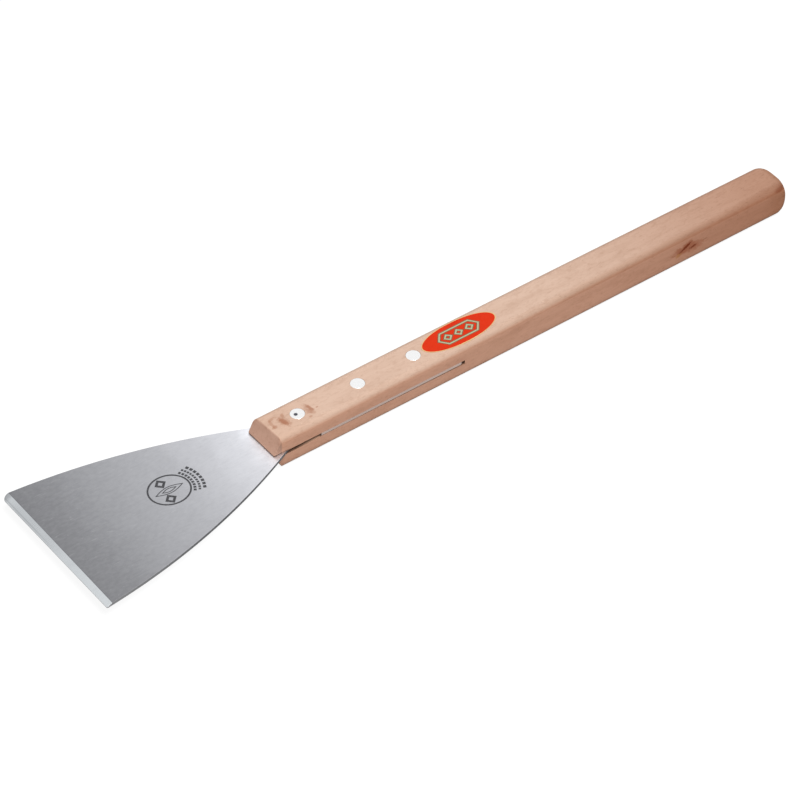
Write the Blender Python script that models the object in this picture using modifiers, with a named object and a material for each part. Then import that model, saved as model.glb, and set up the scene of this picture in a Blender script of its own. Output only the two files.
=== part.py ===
"""Hand scraper: a flared steel blade riveted into a saw-cut beech handle.

Units are metres. +X runs from the cutting edge to the butt of the handle, +Y is the far
side and +Z is up. The handle's underside lies on z = 0, the blade floats at the middle of
the handle's thickness, and x = 0 is half way along the tool.
"""

import math

import bmesh
import bpy
from mathutils import Vector

# Lengths along the tool
BLADE_LENGTH = 0.158            # cutting edge to the front of the handle
HANDLE_LENGTH = 0.426

# Handle section and ends
HANDLE_WIDTH = 0.0280
HANDLE_THICKNESS = 0.0254
EDGE_RADIUS = 0.0042            # rounding of the long edges
TAPER_LENGTH = 0.180            # length of the thinner run up to the butt
TAPER_DROP = 0.0005             # how far top and underside have drawn in at its end
BUTT_LENGTH = 0.0080            # length over which the butt is rounded off
BUTT_INSET = 0.0016             # how far each side draws in there
BUTT_EDGE_RADIUS = 0.0110       # what the rounding of the long edges grows to there
UPPER_FRONT_LEAN = 0.0057       # how far the front face leans back up to the top
LOWER_FRONT_LEAN = 0.0070       # how far it leans back down to the underside

# Blade
BLADE_WIDTH = 0.120
BLADE_THICKNESS = 0.0022
SIDE_RADIUS = 0.482             # the long convex arc of each side
NECK_FILLET_RADIUS = 0.0193
NECK_SETBACK = 0.0180           # how far inside the saw cut the neck's fillet runs out
FAR_CORNER_RADIUS = 0.0040
NEAR_CORNER_RADIUS = 0.0008
BEVEL_WIDTH = 0.0047            # width of the ground strip along the cutting edge
EDGE_LAND = 0.0004              # thickness left at the cutting edge
NOTCH_DEPTH = 0.0019            # how far the neck lies inside the handle's sides
NOTCH_LENGTH = 0.0370           # front of the handle to the tang's full width
TANG_CORNER_RADIUS = 0.0020

# Saw cut
SLOT_LENGTH = 0.152             # from the front of the handle
TANG_END_GAP = 0.0015           # left open behind the tang

# Rivets
RIVET_PLACE_SHARES = (0.188, 0.504, 0.800)  # of the tang's length, from the handle's front
TUBE_RADIUS = 0.0032
TUBE_WALL = 0.0007
HEAD_RIM = 0.0018               # how far a head overhangs its tube
HEAD_THICKNESS = 0.0016
HEAD_CHAMFER = 0.0002
TUBE_MOUTH_GAP = 0.0040         # from the tube's mouth to the underside of the other head
SHANK_TIP_CHAMFER = 0.0004
SHANK_TIP_GAP = 0.0020          # from the shank's tip to the floor of the tube
PIT_RADIUS = 0.0011             # setting mark in the first rivet's upper head
PIT_DEPTH = 0.0005
PIT_OFFSET = 0.0013             # from the rivet's axis towards the blade

# Label
LABEL_SETBACK = 0.1573          # front of the handle to the label's centre
LABEL_LENGTH = 0.0587
LABEL_WIDTH = 0.0219
LABEL_THICKNESS = 0.0002
GLUE_LINE = 0.0001              # gap between the label and the wood

# Fits and cutters
CLEARANCE = 0.0003
OVERRUN = 0.0100                # how far a cutter runs past what it cuts
LEAST_FLAT = 0.0001             # half of the flat that a rounded side keeps at the least

# Fineness of round forms
CORNER_STEPS = 8
SIDE_STEPS = 28
FILLET_STEPS = 10
OVAL_STEPS = 72
TURNED_STEPS = 48
EDGE_STEPS = 8
BUTT_STEPS = 8
SMOOTH_ANGLE = math.radians(30)
FLAT_ANGLE = math.radians(1)    # faces that meet within this angle are one flat face
MERGE_DISTANCE = 0.00001

# Places worked out from the sizes above
EDGE_X = -(BLADE_LENGTH + HANDLE_LENGTH) / 2
FRONT_X = EDGE_X + BLADE_LENGTH
HALF_WIDTH = HANDLE_WIDTH / 2
MID_Z = HANDLE_THICKNESS / 2
NECK_HALF_WIDTH = HALF_WIDTH - NOTCH_DEPTH
TANG_LENGTH = SLOT_LENGTH - TANG_END_GAP
HEAD_RADIUS = TUBE_RADIUS + HEAD_RIM
TUBE_BORE_RADIUS = TUBE_RADIUS - TUBE_WALL
SHANK_RADIUS = TUBE_BORE_RADIUS - CLEARANCE

# Colour, roughness and metallic value of each material
STEEL = ("ground_steel", (0.60, 0.61, 0.62), 0.35, 1.0)
BEECH = ("oiled_beech", (0.66, 0.46, 0.34), 0.55, 0.0)
ALUMINIUM = ("rivet_aluminium", (0.86, 0.86, 0.85), 0.30, 1.0)
LABEL_PAPER = ("label_paper", (0.78, 0.06, 0.02), 0.40, 0.0)


def clear_scene():
    """Remove every object that the file opened with."""
    for obj in list(bpy.data.objects):
        bpy.data.objects.remove(obj, do_unlink=True)


def make_collection(name):
    """Add a collection to the scene."""
    collection = bpy.data.collections.new(name)
    bpy.context.scene.collection.children.link(collection)
    return collection


def make_material(recipe):
    """Make a Principled material from a name, a colour, a roughness and a metallic value."""
    name, colour, roughness, metallic = recipe
    material = bpy.data.materials.new(name)
    material.use_nodes = True
    shader = material.node_tree.nodes["Principled BSDF"]
    shader.inputs["Base Color"].default_value = (*colour, 1)
    shader.inputs["Roughness"].default_value = roughness
    shader.inputs["Metallic"].default_value = metallic
    return material


def arc(centre, radius, start, end, steps):
    """Points on an arc, from one angle to another, both ends included."""
    points = []
    for step in range(steps + 1):
        angle = start + (end - start) * step / steps
        points.append(centre + radius * Vector((math.cos(angle), math.sin(angle))))
    return points


def direction(from_point, to_point):
    """Angle of the line from one point to another."""
    offset = to_point - from_point
    return math.atan2(offset.y, offset.x)


def bar_section(half_width, half_height, radius):
    """Outline of a bar seen from its end: a rectangle with rounded corners."""
    round_radius = min(radius, half_width - LEAST_FLAT, half_height - LEAST_FLAT)
    across = half_width - round_radius
    upward = half_height - round_radius
    quarter = math.pi / 2
    points = []
    for turn, side, top in ((0, 1, 1), (1, -1, 1), (2, -1, -1), (3, 1, -1)):
        corner = Vector((side * across, top * upward))
        start = turn * quarter
        points += arc(corner, round_radius, start, start + quarter, EDGE_STEPS)
    return points


def extruded(name, outline, thickness, collection):
    """Extrude a flat outline both ways from its plane, with each cap one face."""
    curve = bpy.data.curves.new(name, "CURVE")
    curve.dimensions = "2D"
    curve.fill_mode = "BOTH"
    curve.extrude = thickness / 2
    spline = curve.splines.new("POLY")
    spline.points.add(len(outline) - 1)
    for spline_point, point in zip(spline.points, outline):
        spline_point.co = (point.x, point.y, 0, 1)
    spline.use_cyclic_u = True
    flat = bpy.data.objects.new(name + "_curve", curve)
    collection.objects.link(flat)
    depsgraph = bpy.context.evaluated_depsgraph_get()
    mesh = bpy.data.meshes.new_from_object(flat.evaluated_get(depsgraph))
    solid = bpy.data.objects.new(name, mesh)
    solid.matrix_world = flat.matrix_world
    collection.objects.link(solid)
    bpy.data.objects.remove(flat)
    bpy.data.curves.remove(curve)
    weld(mesh)
    return solid


def weld(mesh):
    """Join a curve's loose caps to its walls and clear the edges inside flat faces."""
    shape = bmesh.new()
    shape.from_mesh(mesh)
    bmesh.ops.remove_doubles(shape, verts=shape.verts, dist=MERGE_DISTANCE)
    bmesh.ops.dissolve_limit(shape, angle_limit=FLAT_ANGLE, verts=shape.verts,
                             edges=shape.edges)
    bmesh.ops.recalc_face_normals(shape, faces=shape.faces)
    shape.to_mesh(mesh)
    shape.free()


def box(name, low, high, collection):
    """Make a box between two corners from a unit cube."""
    mesh = bpy.data.meshes.new(name)
    shape = bmesh.new()
    bmesh.ops.create_cube(shape, size=1)
    bmesh.ops.scale(shape, vec=high - low, verts=shape.verts)
    shape.to_mesh(mesh)
    shape.free()
    obj = bpy.data.objects.new(name, mesh)
    obj.location = (low + high) / 2
    collection.objects.link(obj)
    return obj


def lofted(name, sections, collection):
    """Skin a row of outlines, each at its own place along X, and cap both ends."""
    mesh = bpy.data.meshes.new(name)
    shape = bmesh.new()
    rings = []
    for x, outline in sections:
        rings.append([shape.verts.new((x, point.x, point.y)) for point in outline])
    for ring, next_ring in zip(rings, rings[1:]):
        for index, vertex in enumerate(ring):
            shape.faces.new((vertex, ring[index - 1], next_ring[index - 1], next_ring[index]))
    shape.faces.new(rings[0])
    shape.faces.new(rings[-1])
    bmesh.ops.recalc_face_normals(shape, faces=shape.faces)
    shape.to_mesh(mesh)
    shape.free()
    obj = bpy.data.objects.new(name, mesh)
    collection.objects.link(obj)
    return obj


def turned(name, profile, location, collection):
    """Turn a profile, given from top to bottom along its outer side, about its own Z."""
    mesh = bpy.data.meshes.new(name)
    edges = [(index, index + 1) for index in range(len(profile) - 1)]
    mesh.from_pydata([(radius, 0, height) for radius, height in profile], edges, [])
    obj = bpy.data.objects.new(name, mesh)
    obj.location = location
    collection.objects.link(obj)
    screw = obj.modifiers.new("turn", "SCREW")
    screw.steps = TURNED_STEPS
    screw.render_steps = TURNED_STEPS
    screw.use_merge_vertices = True
    screw.merge_threshold = MERGE_DISTANCE
    return obj


def boolean(obj, cutter, operation="DIFFERENCE"):
    """Cut one solid by another, or keep what they share."""
    modifier = obj.modifiers.new(cutter.name, "BOOLEAN")
    modifier.operation = operation
    modifier.solver = "EXACT"
    modifier.object = cutter
    cutter.hide_render = True
    cutter.display_type = "WIRE"


def finish(obj, material, parent):
    """Turn a piece's modifiers into mesh, shade it, colour it and parent it."""
    depsgraph = bpy.context.evaluated_depsgraph_get()
    mesh = bpy.data.meshes.new_from_object(obj.evaluated_get(depsgraph))
    obj.modifiers.clear()
    obj.data = mesh
    mesh.name = obj.name
    mesh.shade_smooth()
    mesh.set_sharp_from_angle(angle=SMOOTH_ANGLE)
    mesh.materials.clear()
    mesh.materials.append(material)
    obj.parent = parent
    return obj


def rivet_places():
    """Places of the rivets' axes along the tang, at the middle of its thickness."""
    return [Vector((FRONT_X + share * TANG_LENGTH, 0, MID_Z)) for share in RIVET_PLACE_SHARES]


def side_circle(corner, neck_centre):
    """Centre of the long arc through a corner that touches the neck's fillet."""
    reach = SIDE_RADIUS + NECK_FILLET_RADIUS
    span = neck_centre - corner
    along = (SIDE_RADIUS ** 2 - reach ** 2 + span.length_squared) / (2 * span.length)
    aside = math.sqrt(SIDE_RADIUS ** 2 - along ** 2)
    unit = span.normalized()
    inward = Vector((unit.y, -unit.x))
    return corner + unit * along + inward * aside


def blade_side(corner_radius):
    """One side of the blade, from the cutting edge to the end of the tang.

    The corner, the long convex side, the neck's fillet, the end of the notch and the
    tang's corner are arcs that touch each other or are joined by straight runs.
    """
    neck_centre = Vector((BLADE_LENGTH + NECK_SETBACK, NECK_HALF_WIDTH + NECK_FILLET_RADIUS))
    side_centre = side_circle(Vector((0, BLADE_WIDTH / 2)), neck_centre)
    inner = SIDE_RADIUS - corner_radius
    corner_rise = math.sqrt(inner ** 2 - (corner_radius - side_centre.x) ** 2)
    corner_centre = Vector((corner_radius, side_centre.y + corner_rise))
    side_start = direction(side_centre, corner_centre)
    side_end = direction(side_centre, neck_centre)
    tang_start = BLADE_LENGTH + NOTCH_LENGTH
    tang_end = BLADE_LENGTH + TANG_LENGTH
    notch_centre = Vector((tang_start - NOTCH_DEPTH, HALF_WIDTH))
    tang_centre = Vector((tang_end - TANG_CORNER_RADIUS, HALF_WIDTH - TANG_CORNER_RADIUS))
    down = -math.pi / 2
    points = arc(corner_centre, corner_radius, math.pi, side_start, CORNER_STEPS)
    points += arc(side_centre, SIDE_RADIUS, side_start, side_end, SIDE_STEPS)[1:]
    points += arc(neck_centre, NECK_FILLET_RADIUS, side_end - math.pi, down, FILLET_STEPS)[1:]
    points += arc(notch_centre, NOTCH_DEPTH, down, 0, CORNER_STEPS)
    points += arc(tang_centre, TANG_CORNER_RADIUS, math.pi / 2, 0, CORNER_STEPS)
    return points


def make_blade(parts, cutters, spools):
    """The blade: an outline cut from sheet, ground to an edge, with a hole for each rivet."""
    far_side = blade_side(FAR_CORNER_RADIUS)
    near_side = [Vector((point.x, -point.y)) for point in blade_side(NEAR_CORNER_RADIUS)]
    outline = far_side + near_side[::-1]
    blade = extruded("blade", outline, BLADE_THICKNESS, parts)
    blade.location = (EDGE_X, 0, MID_Z)
    boolean(blade, edge_grinder(cutters))
    for spool in spools:
        boolean(blade, spool)
    return blade


def edge_grinder(cutters):
    """Cutter whose underside is the ground bevel, down to the land at the cutting edge."""
    drop = BLADE_THICKNESS - EDGE_LAND
    slope = math.atan2(drop, BEVEL_WIDTH)
    half_length = math.hypot(drop, BEVEL_WIDTH) / 2
    low = Vector((-half_length - OVERRUN, -BLADE_WIDTH / 2 - OVERRUN, 0))
    high = Vector((half_length + OVERRUN, BLADE_WIDTH / 2 + OVERRUN, OVERRUN))
    grinder = box("edge_grinder", low, high, cutters)
    middle = Vector((EDGE_X + BEVEL_WIDTH / 2, 0, MID_Z + EDGE_LAND / 2))
    lift = Vector((-math.sin(slope), 0, math.cos(slope))) * OVERRUN / 2
    grinder.location = middle + lift
    grinder.rotation_euler = (0, -slope, 0)
    return grinder


def make_handle(parts, cutters, spools):
    """The handle: a rounded bar with leaning front faces and a saw cut.

    It thins a little towards the butt. The butt is rounded off along a quarter of an
    ellipse: the sides draw in towards the end, and the rounding of the long edges grows.
    """
    taper_start = HANDLE_LENGTH - TAPER_LENGTH
    plain = bar_section(HALF_WIDTH, MID_Z, EDGE_RADIUS)
    sections = [(-OVERRUN, plain), (taper_start, plain)]
    for step in range(BUTT_STEPS + 1):
        turn = math.pi / 2 * step / BUTT_STEPS
        x = HANDLE_LENGTH - BUTT_LENGTH * (1 - math.sin(turn))
        thinned = TAPER_DROP * (x - taper_start) / TAPER_LENGTH
        drawn_in = 1 - math.cos(turn)
        inset = BUTT_INSET * drawn_in
        radius = EDGE_RADIUS + (BUTT_EDGE_RADIUS - EDGE_RADIUS) * drawn_in
        sections.append((x, bar_section(HALF_WIDTH - inset, MID_Z - thinned - inset, radius)))
    handle = lofted("handle", sections, parts)
    handle.location = (FRONT_X, 0, MID_Z)
    boolean(handle, front_cutter(cutters))
    boolean(handle, saw_cut(cutters))
    for spool in spools:
        boolean(handle, spool)
    return handle


def front_cutter(cutters):
    """Cutter that leaves two front faces leaning back from the middle of the thickness."""
    height = MID_Z + OVERRUN
    stretch = height / MID_Z
    stock_x = -2 * OVERRUN
    outline = [Vector((0, 0)), Vector((UPPER_FRONT_LEAN * stretch, height)),
               Vector((stock_x, height)), Vector((stock_x, -height)),
               Vector((LOWER_FRONT_LEAN * stretch, -height))]
    cutter = extruded("front_cutter", outline, HANDLE_WIDTH + OVERRUN, cutters)
    cutter.location = (FRONT_X, 0, MID_Z)
    cutter.rotation_euler = (math.pi / 2, 0, 0)
    return cutter


def saw_cut(cutters):
    """Cutter for the slot that takes the tang, open at the front and at both sides."""
    half_height = BLADE_THICKNESS / 2 + CLEARANCE
    half_width = HALF_WIDTH + OVERRUN
    low = Vector((FRONT_X - 2 * OVERRUN, -half_width, MID_Z - half_height))
    high = Vector((FRONT_X + SLOT_LENGTH, half_width, MID_Z + half_height))
    return box("saw_cut", low, high, cutters)


def rivet_spool(index, place, cutters):
    """Cutter for one rivet: a bore right through and a pocket for the head at each end."""
    bore = TUBE_RADIUS + CLEARANCE
    pocket = HEAD_RADIUS + CLEARANCE
    outside = MID_Z + OVERRUN
    floor = MID_Z - HEAD_THICKNESS - CLEARANCE
    profile = [(0, outside), (pocket, outside), (pocket, floor), (bore, floor),
               (bore, -floor), (pocket, -floor), (pocket, -outside), (0, -outside)]
    return turned(f"rivet_spool_{index}", profile, place, cutters)


def make_shank_half(index, place, parts):
    """Upper half of a rivet: a flush head on a solid shank that enters the tube."""
    under_head = MID_Z - HEAD_THICKNESS
    tip = SHANK_TIP_GAP - under_head
    profile = [(0, MID_Z), (HEAD_RADIUS - HEAD_CHAMFER, MID_Z),
               (HEAD_RADIUS, MID_Z - HEAD_CHAMFER), (HEAD_RADIUS, under_head),
               (SHANK_RADIUS, under_head), (SHANK_RADIUS, tip + SHANK_TIP_CHAMFER),
               (SHANK_RADIUS - SHANK_TIP_CHAMFER, tip), (0, tip)]
    return turned(f"rivet_shank_{index}", profile, place, parts)


def make_tube_half(index, place, parts):
    """Lower half of a rivet: a flush head on a tube, closed at the head."""
    under_head = MID_Z - HEAD_THICKNESS
    mouth = under_head - TUBE_MOUTH_GAP
    profile = [(0, -under_head), (TUBE_BORE_RADIUS, -under_head), (TUBE_BORE_RADIUS, mouth),
               (TUBE_RADIUS, mouth), (TUBE_RADIUS, -under_head), (HEAD_RADIUS, -under_head),
               (HEAD_RADIUS, -MID_Z + HEAD_CHAMFER), (HEAD_RADIUS - HEAD_CHAMFER, -MID_Z),
               (0, -MID_Z)]
    return turned(f"rivet_tube_{index}", profile, place, parts)


def setting_pit(place, cutters):
    """Ball cutter for the shallow mark that the setting punch left in a head."""
    radius = (PIT_RADIUS ** 2 + PIT_DEPTH ** 2) / (2 * PIT_DEPTH)
    rise = MID_Z + radius - PIT_DEPTH
    mesh = bpy.data.meshes.new("setting_pit")
    shape = bmesh.new()
    bmesh.ops.create_uvsphere(shape, u_segments=TURNED_STEPS, v_segments=TURNED_STEPS // 2,
                              radius=radius)
    shape.to_mesh(mesh)
    shape.free()
    pit = bpy.data.objects.new("setting_pit", mesh)
    pit.location = place + Vector((-PIT_OFFSET, 0, rise))
    cutters.objects.link(pit)
    return pit


def offset_bar(name, offset, cutters):
    """A length of the handle's bar, swollen by an offset and longer than the label."""
    half_length = LABEL_LENGTH / 2 + OVERRUN
    section = bar_section(HALF_WIDTH + offset, MID_Z + offset, EDGE_RADIUS + offset)
    bar = lofted(name, [(-half_length, section), (half_length, section)], cutters)
    bar.location = (FRONT_X + LABEL_SETBACK, 0, MID_Z)
    return bar


def make_label(parts, cutters):
    """The oval label: a thin skin over the handle's top, cut to an ellipse."""
    ellipse = []
    for step in range(OVAL_STEPS):
        angle = 2 * math.pi * step / OVAL_STEPS
        ellipse.append(Vector((LABEL_LENGTH / 2 * math.cos(angle),
                               LABEL_WIDTH / 2 * math.sin(angle))))
    label = extruded("oval_label", ellipse, MID_Z, parts)
    label.location = (FRONT_X + LABEL_SETBACK, 0, HANDLE_THICKNESS)
    boolean(label, offset_bar("label_outside", GLUE_LINE + LABEL_THICKNESS, cutters), "INTERSECT")
    boolean(label, offset_bar("label_inside", GLUE_LINE, cutters))
    return label


def build():
    """Build every piece of the scraper."""
    clear_scene()
    parts = make_collection("hand_scraper")
    cutters = make_collection("cutters")
    steel = make_material(STEEL)
    beech = make_material(BEECH)
    aluminium = make_material(ALUMINIUM)
    paper = make_material(LABEL_PAPER)
    root = bpy.data.objects.new("hand_scraper_root", None)
    parts.objects.link(root)

    places = rivet_places()
    spools = [rivet_spool(index, place, cutters) for index, place in enumerate(places, 1)]
    finish(make_blade(parts, cutters, spools), steel, root)
    finish(make_handle(parts, cutters, spools), beech, root)
    finish(make_label(parts, cutters), paper, root)
    for index, place in enumerate(places, 1):
        shank = make_shank_half(index, place, parts)
        if index == 1:
            boolean(shank, setting_pit(place, cutters))
        finish(shank, aluminium, root)
        finish(make_tube_half(index, place, parts), aluminium, root)


build()
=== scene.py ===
"""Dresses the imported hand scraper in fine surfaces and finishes, and lights it for its picture.

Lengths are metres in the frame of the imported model: +X runs from the cutting edge to the butt
of the handle, +Y to the far side and +Z up, with the handle's underside on z = 0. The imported
solids give the places; the surfaces here stand for them and follow the same sizes.
"""

import functools
import logging
import math
from collections.abc import Sequence
from dataclasses import dataclass
from enum import Enum
from typing import NamedTuple

import bpy
import numpy as np
from bpy.types import ID, Material, Mesh, Node, NodeSocket, Object
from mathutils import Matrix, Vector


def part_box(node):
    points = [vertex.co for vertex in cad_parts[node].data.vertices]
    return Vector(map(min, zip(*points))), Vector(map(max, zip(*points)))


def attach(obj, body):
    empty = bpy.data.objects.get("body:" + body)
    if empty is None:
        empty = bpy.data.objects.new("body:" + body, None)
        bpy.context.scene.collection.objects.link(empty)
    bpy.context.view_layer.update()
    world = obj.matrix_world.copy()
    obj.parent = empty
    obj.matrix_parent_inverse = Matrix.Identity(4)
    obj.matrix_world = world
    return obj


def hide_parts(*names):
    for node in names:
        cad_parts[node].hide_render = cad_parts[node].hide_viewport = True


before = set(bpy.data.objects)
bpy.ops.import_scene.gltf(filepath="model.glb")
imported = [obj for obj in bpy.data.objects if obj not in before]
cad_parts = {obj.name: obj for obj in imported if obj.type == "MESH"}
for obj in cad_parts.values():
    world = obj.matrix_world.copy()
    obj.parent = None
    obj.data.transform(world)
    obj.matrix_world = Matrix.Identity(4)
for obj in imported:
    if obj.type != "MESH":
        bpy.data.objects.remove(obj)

BODY = "root"
QUARTER = math.pi / 2
SOFT_ANGLE = math.radians(15)
LEAST_FLAT = 0.0001

Colour = tuple[float, float, float]
Value = float | NodeSocket
log = logging.getLogger("hand_scraper")


class Ends(Enum):
    """How a skin of closed rings is shut at its first and its last ring."""

    POLES = "each end ring has shrunk to a point"
    CAPS = "strips and fans join the two mirrored halves of each end ring"
    JOINED = "the last ring runs on into the first"


@dataclass
class Shell:
    """A closed surface as plain arrays.

    Args:
        points: One row of x, y and z for each corner point.
        triangles: Three point numbers a row.
        quads: Four point numbers a row.
    """

    points: np.ndarray
    triangles: np.ndarray
    quads: np.ndarray

    def volume(self) -> float:
        """Add up the signed tetrahedra between each triangle and the origin.

        Returns:
            The volume, which is negative where the faces point inwards.
        """
        quads = self.quads
        corners = np.vstack([self.triangles, quads[:, [0, 1, 2]], quads[:, [0, 2, 3]]])
        first, second, third = (self.points[corners[:, column]] for column in range(3))
        return float((first * np.cross(second, third)).sum() / 6)

    def outward(self) -> "Shell":
        """Turn the faces outwards if they point inwards.

        Returns:
            The shell, or one with its faces turned round.
        """
        if self.volume() >= 0:
            return self
        return Shell(self.points, self.triangles[:, ::-1], self.quads[:, ::-1])

    def mesh(self, name: str) -> Mesh:
        """Put the arrays into a new mesh.

        Args:
            name: The mesh's name.

        Returns:
            The mesh.
        """
        shell = self.outward()
        mesh = bpy.data.meshes.new(name)
        faces = [*shell.triangles.tolist(), *shell.quads.tolist()]
        mesh.from_pydata(shell.points.tolist(), [], faces)
        return mesh


@dataclass
class Skin:
    """A surface through a row of closed rings that all have the same number of points.

    Args:
        rings: The points, as an array of rings by points by coordinates.
        ends: How the surface is shut.
    """

    rings: np.ndarray
    ends: Ends

    def shell(self) -> Shell:
        """Join each ring to the next by quads and shut the ends.

        Quad (i, j) has the corners (i, j), (i, j + 1), (i + 1, j + 1) and (i + 1, j), with j
        counted round the ring. At a pole all points of the ring are one, so its quads are
        triangles.

        Returns:
            The closed shell.
        """
        count, size = self.rings.shape[:2]
        points = self.rings.reshape(-1, 3)
        number = np.arange(count * size).reshape(count, size)
        if self.ends is Ends.POLES:
            points = points[size - 1:(count - 1) * size + 1]
            number = np.clip(number - (size - 1), 0, len(points) - 1)
        if self.ends is Ends.JOINED:
            number = np.vstack([number, number[:1]])
        ahead = np.roll(number, -1, axis=1)
        bands = np.stack([number[:-1], ahead[:-1], ahead[1:], number[1:]], axis=-1)
        triangles = np.empty((0, 3), dtype=int)
        if self.ends is Ends.POLES:
            triangles = np.vstack([bands[0][:, [0, 2, 3]], bands[-1][:, [0, 1, 2]]])
            bands = bands[1:-1]
        quads = bands.reshape(-1, 4)
        if self.ends is Ends.CAPS:
            triangles, strips = self.cap()
            last = (count - 1) * size
            triangles = np.vstack([triangles[:, ::-1], triangles + last])
            quads = np.vstack([quads, strips[:, ::-1], strips + last])
        return Shell(points, triangles, quads)

    def cap(self) -> tuple[np.ndarray, np.ndarray]:
        """Faces that shut a ring whose second half is the mirror image of its first.

        A strip joins two neighbours to their mirror images, level by level. The points of a
        flat all lie on one level, so the strip next to it starts at the flat's middle, and a
        fan of triangles runs from the first point past the flat to each of its spans.

        Returns:
            The fans' triangles and the strips' quads.
        """
        size = self.rings.shape[1]
        half = size // 2
        height = self.rings[0, :half, 2]
        flat = np.count_nonzero(np.isclose(height, height[0], rtol=0)) - 1
        base = np.arange(flat)
        fan = np.stack([base, base + 1, np.full(flat, flat + 1)], axis=-1)
        fans = np.vstack([fan, half + fan, (size - 1 - fan)[:, ::-1], (half - 1 - fan)[:, ::-1]])
        step = np.arange(flat, half - 1 - flat)
        upper = np.where(step == flat, 0, step)
        lower = np.where(step == half - 2 - flat, half - 1, step + 1)
        return fans, np.stack([upper, lower, size - 1 - lower, size - 1 - upper], axis=-1)


def joined(shells: Sequence[Shell]) -> Shell:
    """Put several shells into one, with their point numbers shifted past each other.

    Args:
        shells: The shells, which don't touch.

    Returns:
        One shell of all of them.
    """
    turned = [shell.outward() for shell in shells]
    shifts = np.cumsum([0] + [len(shell.points) for shell in turned[:-1]])
    return Shell(
        np.vstack([shell.points for shell in turned]),
        np.vstack([shell.triangles + shift for shell, shift in zip(turned, shifts)]),
        np.vstack([shell.quads + shift for shell, shift in zip(turned, shifts)]),
    )


def bar_shares(across: int, up: int, turn: int) -> np.ndarray:
    """Shares that place each point of a rounded bar's section.

    The half on the +Y side runs from the middle of the top along the flat, round the upper
    corner, down the side, round the lower corner and back to the middle of the underside. The
    other half is its mirror image, and no point lies on the middle line.

    Args:
        across: Points on half of the top flat.
        up: Spans on a side's flat.
        turn: Spans round a corner.

    Returns:
        Four rows: the share of the flat half width, the share of the flat half height, and
        the cosine and the sine of the turn round the corner.
    """
    flat = (np.arange(across) + 0.5) / across
    side = np.linspace(1, -1, up + 1)[1:-1]
    angle = np.linspace(0, QUARTER, turn + 1)
    one = np.ones_like
    none = np.zeros_like
    half = np.hstack([
        [flat, one(flat), none(flat), one(flat)],
        [one(angle), one(angle), np.sin(angle), np.cos(angle)],
        [one(side), side, one(side), none(side)],
        [one(angle), -one(angle), np.cos(angle), -np.sin(angle)],
        [flat[::-1], -one(flat), none(flat), -one(flat)],
    ])
    mirror = np.array([[-1], [1], [-1], [1]])
    return np.hstack([half, half[:, ::-1] * mirror])


def bar_rings(centres: np.ndarray, half_width: np.ndarray, half_height: np.ndarray,
              radius: np.ndarray, shares: np.ndarray) -> np.ndarray:
    """Rings of a rounded bar that lies along X.

    A point is the ring's centre, plus its share of the flat half width and half height, plus
    the corner's radius times the cosine across and the sine upwards. The radius stops a
    little short of half the ring, so that opposite corners don't cross.

    Args:
        centres: Centre of each ring, as rows of x, y and z.
        half_width: Half of each ring's width.
        half_height: Half of each ring's height.
        radius: Corner radius of each ring.
        shares: What bar_shares gives.

    Returns:
        Rings by points by coordinates.
    """
    flat_y, flat_z, cosine, sine = shares
    radius = np.minimum(radius, np.minimum(half_width, half_height) - LEAST_FLAT)[:, None]
    x = centres[:, 0, None] + np.zeros_like(flat_y)
    y = centres[:, 1, None] + flat_y * (half_width[:, None] - radius) + cosine * radius
    z = centres[:, 2, None] + flat_z * (half_height[:, None] - radius) + sine * radius
    return np.stack([x, y, z], axis=-1)


def turned_rings(profile: np.ndarray, centre: np.ndarray, spokes: int) -> np.ndarray:
    """Rings of a turned shape: each point of the profile goes once round a vertical axis.

    Args:
        profile: Rows of radius and height, from one end of the axis to the other.
        centre: The axis' place, as x and y.
        spokes: Points round the axis.

    Returns:
        Rings by points by coordinates.
    """
    angle = np.arange(spokes) * 2 * math.pi / spokes
    x = centre[0] + profile[:, :1] * np.cos(angle)
    y = centre[1] + profile[:, :1] * np.sin(angle)
    z = profile[:, 1:] + np.zeros_like(angle)
    return np.stack([x, y, z], axis=-1)


def ribbon(path: np.ndarray, width: float, low: float, high: float, closed: bool) -> Shell:
    """A flat strip of even width along a path on a level surface.

    Each path point is carried to both sides along the mean of its two spans' normals, over
    the cosine of half the bend, so that the strip keeps its width round corners. The section
    is a rectangle between the two levels.

    Args:
        path: Rows of x and y.
        width: The strip's width.
        low: Level of its underside.
        high: Level of its top.
        closed: True if the last point joins the first.

    Returns:
        The strip as a closed shell.
    """
    ahead = np.roll(path, -1, axis=0) - path
    if not closed:
        ahead[-1] = ahead[-2]
    ahead /= np.linalg.norm(ahead, axis=1, keepdims=True)
    behind = np.roll(ahead, 1, axis=0)
    if not closed:
        behind[0] = ahead[0]
    mean = ahead + behind
    mean /= np.linalg.norm(mean, axis=1, keepdims=True)
    stretch = width / 2 / (mean * ahead).sum(axis=1, keepdims=True)
    across = np.stack([-mean[:, 1], mean[:, 0]], axis=1) * stretch
    left = path + across
    right = path - across
    corners = [(left, low), (left, high), (right, high), (right, low)]
    level = np.ones((len(path), 1))
    rings = np.stack([np.hstack([side, level * z]) for side, z in corners], axis=1)
    return Skin(rings, Ends.JOINED if closed else Ends.CAPS).shell()


def lozenge(centre: np.ndarray, length: float, width: float) -> np.ndarray:
    """Outline of a diamond with its long diagonal along X.

    Args:
        centre: Its middle, as x and y.
        length: Diagonal along X.
        width: Diagonal along Y.

    Returns:
        Four rows of x and y.
    """
    unit = np.array([(1, 0), (0, 1), (-1, 0), (0, -1)])
    return centre + unit * (length / 2, width / 2)


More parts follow.
